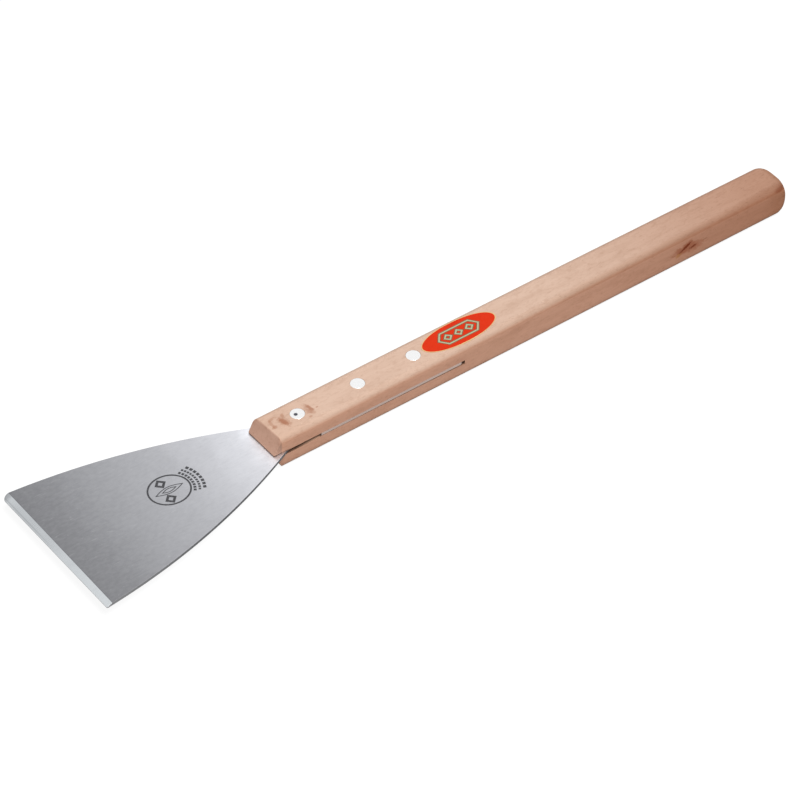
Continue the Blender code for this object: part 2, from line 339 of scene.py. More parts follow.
def arc_path(centre: np.ndarray, radius: float, start: float, end: float, steps: int) -> np.ndarray:
    """Points on an arc on a level surface.

    Args:
        centre: Centre as x and y.
        radius: The arc's radius.
        start: Angle of the first point.
        end: Angle of the last point.
        steps: Spans from the first to the last.

    Returns:
        Rows of x and y.
    """
    angle = np.linspace(start, end, steps + 1)
    return centre + radius * np.stack([np.cos(angle), np.sin(angle)], axis=1)


def placed(name: str, data: ID) -> Object:
    """Put a mesh, a lamp or a camera into the scene.

    Args:
        name: The object's name.
        data: What it shows.

    Returns:
        The object.
    """
    thing = bpy.data.objects.new(name, data)
    bpy.context.scene.collection.objects.link(thing)
    return thing


def make_piece(name: str, mesh: Mesh, materials: Sequence[Material],
               nodes: Sequence[str] = ()) -> Object:
    """Make a finished piece of a mesh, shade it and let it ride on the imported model.

    Args:
        name: The piece's name.
        mesh: Its mesh, in the model's frame.
        materials: Its materials, in the order of the mesh's material numbers.
        nodes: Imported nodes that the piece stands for.

    Returns:
        The piece.
    """
    mesh.name = name
    mesh.shade_smooth()
    mesh.set_sharp_from_angle(angle=SOFT_ANGLE)
    for material in materials:
        mesh.materials.append(material)
    piece = placed(name, mesh)
    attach(piece, BODY)
    if nodes:
        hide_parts(*nodes)
    log.info("%s: %d faces", name, len(mesh.polygons))
    return piece


def cut_mesh(mesh: Mesh, cutters: Sequence[Shell]) -> Mesh:
    """Cut closed shells out of a mesh.

    Args:
        mesh: The mesh that is cut, which isn't kept.
        cutters: What is taken away.

    Returns:
        The mesh that is left.
    """
    stock = placed(mesh.name, mesh)
    tools = []
    for number, cutter in enumerate(cutters):
        tool = placed(f"tool_{number}", cutter.mesh(f"tool_{number}"))
        tools.append(tool)
        cut = stock.modifiers.new(tool.name, "BOOLEAN")
        cut.operation = "DIFFERENCE"
        cut.solver = "EXACT"
        cut.object = tool
    depsgraph = bpy.context.evaluated_depsgraph_get()
    left = bpy.data.meshes.new_from_object(stock.evaluated_get(depsgraph))
    for used in (stock, *tools):
        bpy.data.objects.remove(used)
    return left


def face_table(mesh: Mesh) -> tuple[np.ndarray, np.ndarray]:
    """Read where each face of a mesh looks and lies.

    Args:
        mesh: The mesh.

    Returns:
        The faces' normals and their centres, as rows of x, y and z.
    """
    normals = np.empty((len(mesh.polygons), 3))
    centres = np.empty((len(mesh.polygons), 3))
    mesh.polygons.foreach_get("normal", normals.ravel())
    mesh.polygons.foreach_get("center", centres.ravel())
    return normals, centres


class Sum(Enum):
    """What a Math node does with its values."""

    ADD = "ADD"
    TAKE = "SUBTRACT"
    TIMES = "MULTIPLY"
    OVER = "DIVIDE"
    ROOT = "SQRT"
    HIGHER = "MAXIMUM"


class Blend(Enum):
    """How one colour goes over another."""

    COVER = "MIX"
    STAIN = "MULTIPLY"


class Range(NamedTuple):
    """A smooth run from one result to another, as a value goes from one level to another.

    Args:
        low: Level at which the result is start.
        high: Level at which the result is end, which may lie under low.
        start: Result at low and beyond.
        end: Result at high and beyond.
    """

    low: float
    high: float
    start: float = 0.0
    end: float = 1.0

    def at(self, origin: float) -> "Range":
        """The same run, with low and high counted from an origin."""
        return Range(origin + self.low, origin + self.high, self.start, self.end)


class Cloud(NamedTuple):
    """A cloudy noise.

    Args:
        scale: Clouds to the metre along each axis.
        detail: Octaves of finer clouds.
        rough: Strength of each finer octave.
        stir: How far the place is stirred before the noise is read.
    """

    scale: tuple[float, float, float]
    detail: float = 2.0
    rough: float = 0.5
    stir: float = 0.0


class Mark(NamedTuple):
    """A long soft mark on one face.

    Args:
        along: Offset of its middle from a point, along the face's first axis.
        aside: Offset along the second axis.
        length: Half its length.
        width: Half its width.
        slant: Angle of its length from the first axis.
        strength: Share of its colour in its middle.
    """

    along: float
    aside: float
    length: float
    width: float
    slant: float
    strength: float


class Recipe:
    """One material and short calls for its nodes."""

    def __init__(self, name: str, roughness: float, metallic: float = 0.0,
                 specular: float = 0.5) -> None:
        """Start a material that reads its place on the piece.

        Args:
            name: The material's name.
            roughness: Roughness, where it is the same all over.
            metallic: Metallic value, the same all over.
            specular: Strength of the gloss on what isn't metal.
        """
        self.material = bpy.data.materials.new(name)
        self.material.use_nodes = True
        self.tree = self.material.node_tree
        self.shader = self.tree.nodes["Principled BSDF"]
        self.shader.inputs["Roughness"].default_value = roughness
        self.shader.inputs["Metallic"].default_value = metallic
        self.shader.inputs["Specular IOR Level"].default_value = specular
        self.spot = self.node("ShaderNodeTexCoord").outputs["Object"]
        self.x, self.y, self.z = self.node("ShaderNodeSeparateXYZ", self.spot).outputs

    def node(self, kind: str, *values: Value, **settings: object) -> Node:
        """Add a node.

        Args:
            kind: The node's type.
            values: What goes into its first inputs, sockets or numbers.
            settings: Properties of the node.

        Returns:
            The node.
        """
        made = self.tree.nodes.new(kind)
        for name, setting in settings.items():
            setattr(made, name, setting)
        for socket, value in zip(made.inputs, values):
            self.feed(socket, value)
        return made

    def feed(self, socket: NodeSocket, value: Value | Sequence[float]) -> None:
        """Link an input, or set it.

        Args:
            socket: The input.
            value: The output that it is linked to, or the value that it is set to.
        """
        if isinstance(value, NodeSocket):
            self.tree.links.new(value, socket)
        else:
            socket.default_value = value

    def sum(self, what: Sum, first: Value, second: Value = 0.0) -> NodeSocket:
        """Work out a value from one or two others."""
        return self.node("ShaderNodeMath", first, second, operation=what.value).outputs[0]

    def product(self, *values: NodeSocket) -> NodeSocket:
        """The values times each other, from the first to the last."""
        return functools.reduce(lambda first, second: self.sum(Sum.TIMES, first, second), values)

    def noise(self, cloud: Cloud, place: NodeSocket | None = None) -> NodeSocket:
        """Cloudy noise between 0 and 1.

        Args:
            cloud: Its settings.
            place: Where it is read, one cloud for each unit. If there is none, it is read at
                the place on the piece times the cloud's scale.

        Returns:
            The noise value.
        """
        if place is None:
            mapping = self.node("ShaderNodeMapping", self.spot)
            mapping.inputs["Scale"].default_value = cloud.scale
            place = mapping.outputs[0]
        made = self.node("ShaderNodeTexNoise", place)
        names = ("Scale", "Detail", "Roughness", "Distortion")
        for name, setting in zip(names, (1.0, cloud.detail, cloud.rough, cloud.stir)):
            made.inputs[name].default_value = setting
        return made.outputs[0]

    def spread(self, value: Value, reach: Range) -> NodeSocket:
        """Carry a value smoothly through a range, and hold it at both ends.

        Args:
            value: The value.
            reach: The range.

        Returns:
            The result.
        """
        run = self.node("ShaderNodeMapRange", value, interpolation_type="SMOOTHSTEP")
        for name, number in zip(("From Min", "From Max", "To Min", "To Max"), reach):
            run.inputs[name].default_value = number
        return run.outputs[0]

    def mix(self, share: Value, first: NodeSocket | Colour, second: NodeSocket | Colour,
            blend: Blend = Blend.COVER) -> NodeSocket:
        """Mix two colours by a share.

        Args:
            share: 0 for the first colour and 1 for the second.
            first: A colour or a colour socket.
            second: A colour or a colour socket.
            blend: How the second colour goes over the first.

        Returns:
            The mixed colour.
        """
        mixer = self.node("ShaderNodeMix", data_type="RGBA", blend_type=blend.value)
        self.feed(mixer.inputs[0], share)
        for place, colour in ((6, first), (7, second)):
            self.feed(mixer.inputs[place], colour if isinstance(colour, NodeSocket) else (*colour, 1))
        return mixer.outputs[2]

    def lay(self, under: NodeSocket | Colour, value: Value, reach: Range, colour: Colour,
            blend: Blend = Blend.COVER) -> NodeSocket:
        """Lay a colour over another by as much as a range gives for a value."""
        return self.mix(self.spread(value, reach), under, colour, blend)

    def ramp(self, value: Value, places: Sequence[float], colours: Sequence[Colour]) -> NodeSocket:
        """A colour that runs straight from each of some places to the next.

        Args:
            value: What is looked up.
            places: Two or more rising values.
            colours: The colour at each.

        Returns:
            The colour.
        """
        first, last = places[0], places[-1]
        share = self.sum(Sum.OVER, self.sum(Sum.TAKE, value, first), last - first)
        ramp = self.node("ShaderNodeValToRGB", share)
        stops = ramp.color_ramp.elements
        while len(stops) < len(places):
            stops.new(1.0)
        for stop, place, colour in zip(stops, places, colours):
            stop.position = (place - first) / (last - first)
            stop.color = (*colour, 1)
        return ramp.outputs[0]

    def offsets(self, centre: Sequence[float], axes: str) -> list[NodeSocket]:
        """How far the place on the piece lies from a centre along each of some axes."""
        return [self.sum(Sum.TAKE, getattr(self, axis), middle) for axis, middle in zip(axes, centre)]

    def distance(self, parts: Sequence[NodeSocket], reach: Sequence[float]) -> NodeSocket:
        """The root of the sum of the squares of some offsets, each over its reach.

        Args:
            parts: The offsets.
            reach: The reach of each.

        Returns:
            The distance, which is 1 on the rim of an oval with these half diameters.
        """
        total: Value = 0.0
        for part, half in zip(parts, reach):
            share = self.sum(Sum.OVER, part, half)
            total = self.sum(Sum.ADD, total, self.sum(Sum.TIMES, share, share))
        return self.sum(Sum.ROOT, total)

    def oval(self, centre: Sequence[float], reach: Sequence[float], axes: str) -> NodeSocket:
        """Distance from a centre along some axes, such as "xy", each over its reach."""
        return self.distance(self.offsets(centre, axes), reach)

    def slanted(self, centre: Sequence[float], reach: Sequence[float], axes: str,
                slant: float) -> NodeSocket:
        """Distance from a centre as in oval, in two axes that are turned by a slant.

        The two offsets from the centre are turned into one along the slant, their sum with
        its cosine and sine, and one across it, their difference with its cosine and sine.

        Args:
            centre: The two coordinates of the centre.
            reach: Half diameters along and across the slant.
            axes: The two axes, such as "xz".
            slant: Angle from the first axis.

        Returns:
            The distance.
        """
        first, second = self.offsets(centre, axes)
        cosine = math.cos(slant)
        sine = math.sin(slant)
        ahead = (self.sum(Sum.TIMES, first, cosine), self.sum(Sum.TIMES, second, sine))
        aside = (self.sum(Sum.TIMES, second, cosine), self.sum(Sum.TIMES, first, sine))
        return self.distance((self.sum(Sum.ADD, *ahead), self.sum(Sum.TAKE, *aside)), reach)

    def bump(self, height: NodeSocket, depth: float) -> None:
        """Roughen the surface.

        Args:
            height: A height between 0 and 1.
            depth: What a height of 1 is in metres.
        """
        node = self.node("ShaderNodeBump")
        node.inputs["Strength"].default_value = 1.0
        node.inputs["Distance"].default_value = depth
        self.feed(node.inputs["Height"], height)
        self.feed(self.shader.inputs["Normal"], node.outputs[0])

    def finish(self, colour: NodeSocket, roughness: NodeSocket | None = None) -> Material:
        """Give the shader its colour and, where it varies, its roughness.

        Args:
            colour: The colour.
            roughness: The roughness, or nothing where it is the same all over.

        Returns:
            The finished material.
        """
        self.feed(self.shader.inputs["Base Color"], colour)
        if roughness is not None:
            self.feed(self.shader.inputs["Roughness"], roughness)
        return self.material


@dataclass(frozen=True)
class BrushedSteel:
    """Blade steel, finely brushed lengthwise, with a painted reflection: darker towards the cutting
    edge and paler towards the neck.

    The painted reflection is a ramp of grey values at distances from the cutting edge.
    """

    edge_x: float
    strip: float
    strip_skew: float
    tint: Colour = (0.975, 0.985, 1.040)
    painted_reflection_shades: tuple[tuple[float, float], ...] = (
        (0.000, 0.222), (0.022, 0.262), (0.052, 0.362), (0.072, 0.410), (0.102, 0.490),
        (0.112, 0.550), (0.124, 0.595), (0.136, 0.685), (0.144, 0.715), (0.150, 0.785),
        (0.157, 0.960), (0.162, 0.930), (0.167, 0.620),
    )
    light: Colour = (0.95, 0.96, 0.98)
    dark: Colour = (0.12, 0.12, 0.13)
    cloud: Cloud = Cloud((70.0, 70.0, 70.0), 5, 0.6)
    mottle: Cloud = Cloud((260.0, 420.0, 420.0), 3, 0.6)
    stroke: Cloud = Cloud((70.0, 1500.0, 900.0), 3, 0.6)
    scratch: Cloud = Cloud((160.0, 900.0, 900.0), 2, 0.5, 0.9)
    drift: Range = Range(0.3, 0.7, -0.003, 0.003)
    # Painted shade: the steel darkens towards the far side
    painted_far_shade: Range = Range(-0.02, 0.05, 0.0, 0.07)
    stroke_dim: Range = Range(0.3, 0.7, 0.0, 0.045)
    mottle_lit: Range = Range(0.35, 0.7, 0.0, 0.035)
    mottle_dim: Range = Range(0.5, 0.3, 0.0, 0.03)
    scratch_lit: Range = Range(0.64, 0.74, 0.0, 0.08)
    scratch_dim: Range = Range(0.38, 0.28, 0.0, 0.06)
    # Painted shade: a thin dark line just behind the ground strip's arris
    painted_arris_shade: Range = Range(0.0003, 0.0009, 0.25, 0.0)
    polish: Range = Range(0.25, 0.75, 0.32, 0.44)
    relief: float = 0.00001

    def material(self) -> Material:
        """Build the material: the painted reflection ramp, painted shade towards the far side and
        behind the strip's arris, strokes, mottle and scratches.

        Returns:
            The brushed steel.
        """
        recipe = Recipe("brushed_steel", self.polish.start, metallic=1.0)
        along = recipe.sum(Sum.ADD, recipe.x, recipe.spread(recipe.noise(self.cloud), self.drift))
        # Painted reflection: the ramp darkens the steel towards the cutting edge and lightens it towards
        # the neck
        places, tones = zip(*self.painted_reflection_shades)
        steel = recipe.ramp(along, [self.edge_x + place for place in places],
                            [tuple(tone * part for part in self.tint) for tone in tones])
        mottle = recipe.noise(self.mottle)
        stroke = recipe.noise(self.stroke)
        scratch = recipe.noise(self.scratch)
        skewed = recipe.sum(Sum.TIMES, recipe.y, self.strip_skew)
        arris = recipe.sum(Sum.ADD, self.edge_x + self.strip, skewed)
        behind = recipe.sum(Sum.TAKE, recipe.x, arris)
        # The far side's and the arris' layers are painted shade; the others are the steel's own tones
        layers = (
            (recipe.y, self.painted_far_shade, self.dark), (stroke, self.stroke_dim, self.dark),
            (mottle, self.mottle_lit, self.light), (mottle, self.mottle_dim, self.dark),
            (scratch, self.scratch_lit, self.light), (scratch, self.scratch_dim, self.dark),
            (behind, self.painted_arris_shade, self.dark),
        )
        for value, reach, colour in layers:
            steel = recipe.lay(steel, value, reach, colour)
        recipe.bump(stroke, self.relief)
        return recipe.finish(steel, recipe.spread(stroke, self.polish))


@dataclass(frozen=True)
class GroundSteel:
    """The ground strip along the cutting edge: bright, with fine grinding lines across it."""

    edge_x: float
    colour: Colour = (0.63, 0.66, 0.68)
    line: Colour = (0.46, 0.48, 0.50)
    dull: Colour = (0.26, 0.27, 0.28)
    lines: Cloud = Cloud((150.0, 2200.0, 150.0), 3, 0.6)
    patch: Cloud = Cloud((45.0, 45.0, 45.0))
    scored: Range = Range(0.45, 0.8)
    patched: Range = Range(0.4, 0.7, 0.0, 0.35)
    # Painted shade: the strip darkens towards the far side and at its far corner
    far: Range = Range(-0.055, 0.03, 0.0, 0.75)
    far_corner: Range = Range(0.0535, 0.0575, 0.0, 0.9)
    # Painted shade: a thin dark line just behind the cutting edge, strongest on the far side
    edge_line_rise: Range = Range(0.0006, 0.0010)
    edge_line_fall: Range = Range(0.0013, 0.0019, 1.0, 0.0)
    edge_line_far: Range = Range(-0.005, 0.030, 0.0, 0.35)
    polish: Range = Range(0.3, 0.7, 0.22, 0.36)
    relief: float = 0.000008

    def material(self) -> Material:
        """Build the material: grinding lines, painted shade towards the far side, at the far corner
        and in a thin line behind the cutting edge, and bright patches.

        Returns:
            The ground steel.
        """
        recipe = Recipe("ground_steel", self.polish.start, metallic=1.0)
        lines = recipe.noise(self.lines)
        steel = recipe.lay(self.colour, lines, self.scored, self.line)
        # Painted shade towards the far side and at the far corner
        steel = recipe.lay(steel, recipe.y, self.far, self.line)
        steel = recipe.lay(steel, recipe.y, self.far_corner, self.dull)
        steel = recipe.lay(steel, recipe.noise(self.patch), self.patched, self.colour)
        # Painted shade in a thin line behind the cutting edge
        rise = recipe.spread(recipe.x, self.edge_line_rise.at(self.edge_x))
        fall = recipe.spread(recipe.x, self.edge_line_fall.at(self.edge_x))
        painted_edge_line = recipe.product(rise, fall, recipe.spread(recipe.y, self.edge_line_far))
        steel = recipe.mix(painted_edge_line, steel, self.dull)
        recipe.bump(lines, self.relief)
        return recipe.finish(steel, recipe.spread(lines, self.polish))


@dataclass(frozen=True)
class ShearedSteel:
    """The blade's sheared rim: rougher and faintly scored through its thickness, and darkened by
    painted shade, which is lighter towards the cutting edge.

    Where the tang fills the saw cut, its rim is sanded bright with the handle.
    """

    edge_x: float
    seat_x: float
    # Painted shade: the rim is dark where it would mirror the bright floor
    colour: Colour = (0.085, 0.085, 0.090)
    lighter_grey: Colour = (0.22, 0.22, 0.225)
    bright: Colour = (0.19, 0.19, 0.195)
    sanded: Colour = (0.46, 0.36, 0.32)
    roughness: float = 0.5
    score: Cloud = Cloud((1400.0, 1400.0, 120.0))
    scored: Range = Range(0.4, 0.75, 0.0, 0.7)
    lighter_reach: Range = Range(0.002, 0.100, 1.0, 0.0)
    seat: Range = Range(-0.0008, 0.0008)
    relief: float = 0.00002

    def material(self) -> Material:
        """Build the material: painted shade, lighter towards the cutting edge, then scores and the
        sanded tang.

        Returns:
            The sheared steel.
        """
        recipe = Recipe("sheared_steel", self.roughness, metallic=1.0)
        score = recipe.noise(self.score)
        recipe.bump(score, self.relief)
        # Painted shade on the rim, lighter towards the cutting edge
        rim = recipe.lay(self.colour, recipe.x, self.lighter_reach.at(self.edge_x), self.lighter_grey)
        rim = recipe.lay(rim, score, self.scored, self.bright)
        return recipe.finish(recipe.lay(rim, recipe.x, self.seat.at(self.seat_x), self.sanded))


@dataclass(frozen=True)
class SteamedBeech:
    """Steamed beech: pinkish tan with soft bands, short dark flecks, a knot and bruises.

    The growth rings are circles round a pith that lies outside the bar, so that they run
    lengthwise on the sides and cross the end faces as arcs. The top is paler than the sides,
    most of all towards the front: a painted sheen of the light from above. The wood darkens
    towards the butt.
    """

    front_x: float
    butt_x: float
    top_z: float
    near_y: float
    rivet: tuple[float, float]

    # Plain wood, towards the front and towards the butt; the top's paler colours are a painted
    # sheen of the light from above, and the top is counted from its level
    sides: tuple[Colour, Colour] = ((0.815, 0.453, 0.311), (0.590, 0.280, 0.172))
    painted_sheen_tops: tuple[Colour, Colour] = ((0.698, 0.494, 0.384), (0.489, 0.271, 0.185))
    towards_butt: Range = Range(0.075, 0.305)
    top: Range = Range(-0.0042, -0.0010)

    # Front face, counted from the front, with a painted shadow along the foot of the upper cheek
    front_grain: Colour = (0.717, 0.777, 0.830)
    painted_foot_shadow: Colour = (0.30, 0.28, 0.27)
    skew: float = 0.057
    face: Range = Range(0.0050, 0.0060)
    foot: Range = Range(0.0142, 0.0152, 1.0, 0.0)
    foot_reach: Range = Range(0.009, 0.014, 0.65, 0.0)
    lower_cheek: Range = Range(0.0116, 0.0125, 1.0, 0.0)

    # Long edges darkened by painted shade on their rounding, counted down from the top, and
    # across from the middle
    painted_edge_shade: Colour = (0.75, 0.68, 0.63)
    edge_shade_up: Range = Range(-0.0050, -0.0034)
    edge_shade_along: Range = Range(0.02, 0.15, 0.3, 1.0)
    near_edge: Range = Range(-0.0137, -0.0082, 1.0, 0.0)
    far_edge: Range = Range(0.0085, 0.0125, 0.0, 0.4)
    inward: Range = Range(-0.060, -0.010, 0.0, 0.0020)

    # Butt, counted from its end and from the top: its end, darker with end grain and with painted
    # shade on the rounding, its near side, and a darker spot at the near top corner
    butt_grain_and_shade: Colour = (0.84, 0.78, 0.70)
    butt_end: Range = Range(-0.0050, -0.0015, 0.0, 0.8)
    butt_side: Colour = (0.91, 0.87, 0.82)
    side_up: Range = Range(-0.0050, -0.0010, 1.0, 0.0)
    side_along: Range = Range(-0.020, -0.007)
    butt_corner: Colour = (0.74, 0.58, 0.52)
    corner_spot: tuple[float, float] = (-0.0060, -0.0025)
    corner_spot_reach: tuple[float, float] = (0.0062, 0.0023)
    corner_spot_rim: Range = Range(0.2, 1.1, 1.0, 0.0)

    # Stain on the top, counted from the front
    stain: Colour = (0.95, 0.87, 0.82)
    stained: Range = Range(0.010, 0.050, 0.45, 0.0)

    # Bands, clouds, figure, flecks and pores
    pith: tuple[float, float] = (0.055, -0.075)
    ring: float = 0.0032
    band_drift: float = 6.0
    band_sway: Range = Range(0, 1, -2, 2)
    sway: Cloud = Cloud((9.0, 60.0, 60.0), 3)
    band: Cloud = Cloud((1.0, 1.0, 1.0), 3, 0.6)
    cloud: Cloud = Cloud((30.0, 110.0, 110.0), 4, 0.6, 0.6)
    figure: Cloud = Cloud((150.0, 330.0, 330.0), 3, 0.6, 1.2)
    flecks: Cloud = Cloud((300.0, 1700.0, 1700.0))
    pores: Cloud = Cloud((900.0, 5200.0, 5200.0), 1)
    deep: Colour = (0.80, 0.74, 0.70)
    band_dim: Range = Range(0.40, 0.75, 0.0, 0.30)
    cloud_dim: Range = Range(0.45, 0.80, 0.0, 0.45)
    figure_dim: Range = Range(0.45, 0.75, 0.0, 0.50)
    fleck: Colour = (0.62, 0.56, 0.50)
    fleck_dim: Range = Range(0.62, 0.74, 0.0, 0.45)
    pore_dim: Range = Range(0.66, 0.76, 0.0, 0.30)
    fleck_sunk: Range = Range(0.55, 0.75, 1.0, 0.0)
    relief: float = 0.00003
    gloss: Range = Range(0.3, 0.8, 0.50, 0.64)
    specular: float = 0.08

    # Knot on the near side, and bruises on the top, counted from the first rivet
    ragged: Range = Range(0.2, 0.8, -0.35, 0.35)
    mark_rim: tuple[float, float] = (0.55, 1.25)
    knot: tuple[float, float] = (0.2046, 0.0139)
    knot_face: Range = Range(0.001, 0.003, 1.0, 0.0)
    knot_stir: Cloud = Cloud((330.0, 330.0, 330.0), 3, 0.6)
    streak_stir: Cloud = Cloud((800.0, 800.0, 800.0), 2, 0.6)
    halo: Colour = (0.46, 0.160, 0.085)
    amber: Colour = (0.56, 0.25, 0.090)
    burnt: Colour = (0.205, 0.034, 0.005)
    halos: tuple[Mark, ...] = (
        Mark(0.0008, -0.0012, 0.0140, 0.0042, -0.05, 0.75),
        Mark(-0.0010, 0.0004, 0.0085, 0.0032, 0.40, 0.80),
    )
    ambers: tuple[Mark, ...] = (Mark(-0.0071, -0.0036, 0.0028, 0.0017, 0.1, 0.6),)
    streaks: tuple[Mark, ...] = (
        Mark(-0.0004, 0.0010, 0.0044, 0.0012, 0.50, 1.00),
        Mark(0.0055, -0.0016, 0.0036, 0.0011, 0.20, 0.85),
        Mark(-0.0046, -0.0013, 0.0026, 0.0009, 0.50, 0.65),
        Mark(0.0162, -0.0003, 0.0022, 0.0006, 0.05, 0.40),
    )
    bruise_face: Range = Range(-0.004, -0.002)
    bruise_stir: Cloud = Cloud((600.0, 600.0, 600.0), 3, 0.6)
    bruise: Colour = (0.38, 0.155, 0.085)
    bruises: tuple[Mark, ...] = (
        Mark(-0.0112, -0.0010, 0.0060, 0.0032, -1.29, 0.40),
        Mark(-0.0115, -0.0008, 0.0046, 0.0016, -1.29, 0.75),
        Mark(-0.0092, 0.0040, 0.0026, 0.0012, 0.94, 0.50),
        Mark(0.0085, -0.0008, 0.0055, 0.0026, -1.43, 0.35),
        Mark(0.0095, -0.0005, 0.0047, 0.0012, -1.43, 0.60),
        Mark(0.0071, -0.0030, 0.0026, 0.0020, 0.0, 0.40),
        Mark(0.0055, -0.0073, 0.0014, 0.0010, 0.0, 0.40),
        Mark(0.0137, -0.0024, 0.0009, 0.0007, 0.0, 0.55),
        Mark(-0.0169, 0.0053, 0.0026, 0.0011, 0.38, 0.40),
        Mark(-0.0190, 0.0014, 0.0036, 0.0012, 1.50, 0.40),
        Mark(-0.0189, -0.0019, 0.0020, 0.0014, 0.30, 0.55),
    )

    def faces(self, recipe: Recipe) -> tuple[NodeSocket, NodeSocket]:
        """Plain wood on the front, the sides and the top, with the top's painted sheen, and the painted
        shadow at the front's foot.

        Args:
            recipe: The material's recipe.

        Returns:
            The colour, and a value of 1 on the top.
        """
        butt_share = recipe.spread(recipe.x, self.towards_butt)
        skewed = recipe.sum(Sum.ADD, recipe.x, recipe.sum(Sum.TIMES, recipe.y, self.skew))
        behind = recipe.spread(skewed, self.face.at(self.front_x))
        above = recipe.product(recipe.spread(recipe.z, self.top.at(self.top_z)), behind)
        low = recipe.spread(recipe.z, self.lower_cheek)
        foot = recipe.spread(recipe.z, self.foot)
        sides = recipe.mix(butt_share, *self.sides)
        front = recipe.mix(1.0, sides, self.front_grain, Blend.STAIN)
        # Painted shadow at the foot of the upper cheek, on the front face and on the sides beside it
        front = recipe.mix(foot, front, self.painted_foot_shadow, Blend.STAIN)
        beside = recipe.spread(skewed, self.foot_reach.at(self.front_x))
        edge = recipe.product(recipe.sum(Sum.TAKE, foot, low), beside)
        shaded = recipe.mix(edge, sides, self.painted_foot_shadow, Blend.STAIN)
        sides = recipe.mix(recipe.sum(Sum.HIGHER, behind, low), front, shaded)
        # The top takes the paler colours: a painted sheen of the light from above
        return recipe.mix(above, sides, recipe.mix(butt_share, *self.painted_sheen_tops)), above

    def soiled_and_shaded(self, recipe: Recipe, wood: NodeSocket, above: NodeSocket) -> NodeSocket:
        """Paint shade on the long edges, darken the butt, its end and a spot at its near top corner,
        and stain the top's front.

        Args:
            recipe: The material's recipe.
            wood: The colour so far.
            above: 1 on the top.

        Returns:
            The colour with the stains and the painted shade.
        """
        edge_shade_up = recipe.spread(recipe.z, self.edge_shade_up.at(self.top_z))
        edge_shade_along = recipe.spread(recipe.x, self.edge_shade_along)
        inward = recipe.spread(recipe.x, self.inward.at(self.butt_x))
        near_edge = recipe.spread(recipe.sum(Sum.TAKE, recipe.y, inward), self.near_edge)
        either = recipe.sum(Sum.HIGHER, near_edge, recipe.spread(recipe.y, self.far_edge))
        butt_end = recipe.spread(recipe.x, self.butt_end.at(self.butt_x))
        side_up = recipe.spread(recipe.z, self.side_up.at(self.top_z))
        side_along = recipe.spread(recipe.x, self.side_along.at(self.butt_x))
        centre = (self.butt_x + self.corner_spot[0], self.top_z + self.corner_spot[1])
        corner_spotted = recipe.spread(recipe.oval(centre, self.corner_spot_reach, "xz"), self.corner_spot_rim)
        stained = recipe.spread(recipe.x, self.stained.at(self.front_x))
        layers = (
            # Painted shade on the rounded long edges
            (recipe.product(edge_shade_up, edge_shade_along, either), self.painted_edge_shade),
            # The butt's end: end grain and painted shade on its rounding
            (butt_end, self.butt_grain_and_shade),
            (recipe.product(side_up, side_along), self.butt_side),
            (recipe.product(corner_spotted, near_edge), self.butt_corner),
            (recipe.product(stained, above), self.stain),
        )
        for share, colour in layers:
            wood = recipe.mix(share, wood, colour, Blend.STAIN)
        return wood

    def bands(self, recipe: Recipe) -> NodeSocket:
        """Growth bands: noise along the distance from the pith, stirred by slow clouds.

        Args:
            recipe: The material's recipe.

        Returns:
            The bands' value.
        """
        away = recipe.oval(self.pith, (self.ring, self.ring), "yz")
        sway = recipe.spread(recipe.noise(self.sway), self.band_sway)
        place = recipe.node("ShaderNodeCombineXYZ", recipe.sum(Sum.ADD, away, sway),
                            recipe.sum(Sum.TIMES, recipe.x, self.band_drift))
        return recipe.noise(self.band, place.outputs[0])

    def material(self) -> Material:
        """Build the material: plain faces, stains and painted shade, grain, and then the knot and
        the bruises.

        Returns:
            The steamed beech.
        """
        recipe = Recipe("steamed_beech", self.gloss.start, specular=self.specular)
        wood = self.soiled_and_shaded(recipe, *self.faces(recipe))
        bands = self.bands(recipe)
        cloud = recipe.noise(self.cloud)
        flecks = recipe.noise(self.flecks)
        grains = (
            (bands, self.band_dim, self.deep), (cloud, self.cloud_dim, self.deep),
            (recipe.noise(self.figure), self.figure_dim, self.deep),
            (flecks, self.fleck_dim, self.fleck),
            (recipe.noise(self.pores), self.pore_dim, self.fleck),
        )
        for value, reach, colour in grains:
            wood = recipe.lay(wood, value, reach, colour, Blend.STAIN)
        wood = self.bruised(recipe, self.knotted(recipe, wood))
        recipe.bump(recipe.sum(Sum.ADD, recipe.spread(flecks, self.fleck_sunk), bands), self.relief)
        return recipe.finish(wood, recipe.spread(cloud, self.gloss))

    def marked(self, recipe: Recipe, wood: NodeSocket, mark: Mark, place: Sequence[float],
               axes: str, stir: NodeSocket, mask: NodeSocket, colour: Colour) -> NodeSocket:
        """Add one long soft mark with a ragged rim.

        Args:
            recipe: The material's recipe.
            wood: The colour so far.
            mark: The mark.
            place: What its offsets start from.
            axes: The two axes that it lies in.
            stir: Noise that roughens its rim.
            mask: 1 on the face that has the mark.
            colour: Its colour.

        Returns:
            The colour with the mark.
        """
        centre = (place[0] + mark.along, place[1] + mark.aside)
        away = recipe.slanted(centre, (mark.length, mark.width), axes, mark.slant)
        away = recipe.sum(Sum.ADD, away, recipe.spread(stir, self.ragged))
        share = recipe.product(recipe.spread(away, Range(*self.mark_rim, mark.strength, 0.0)), mask)
        return recipe.mix(share, wood, colour)

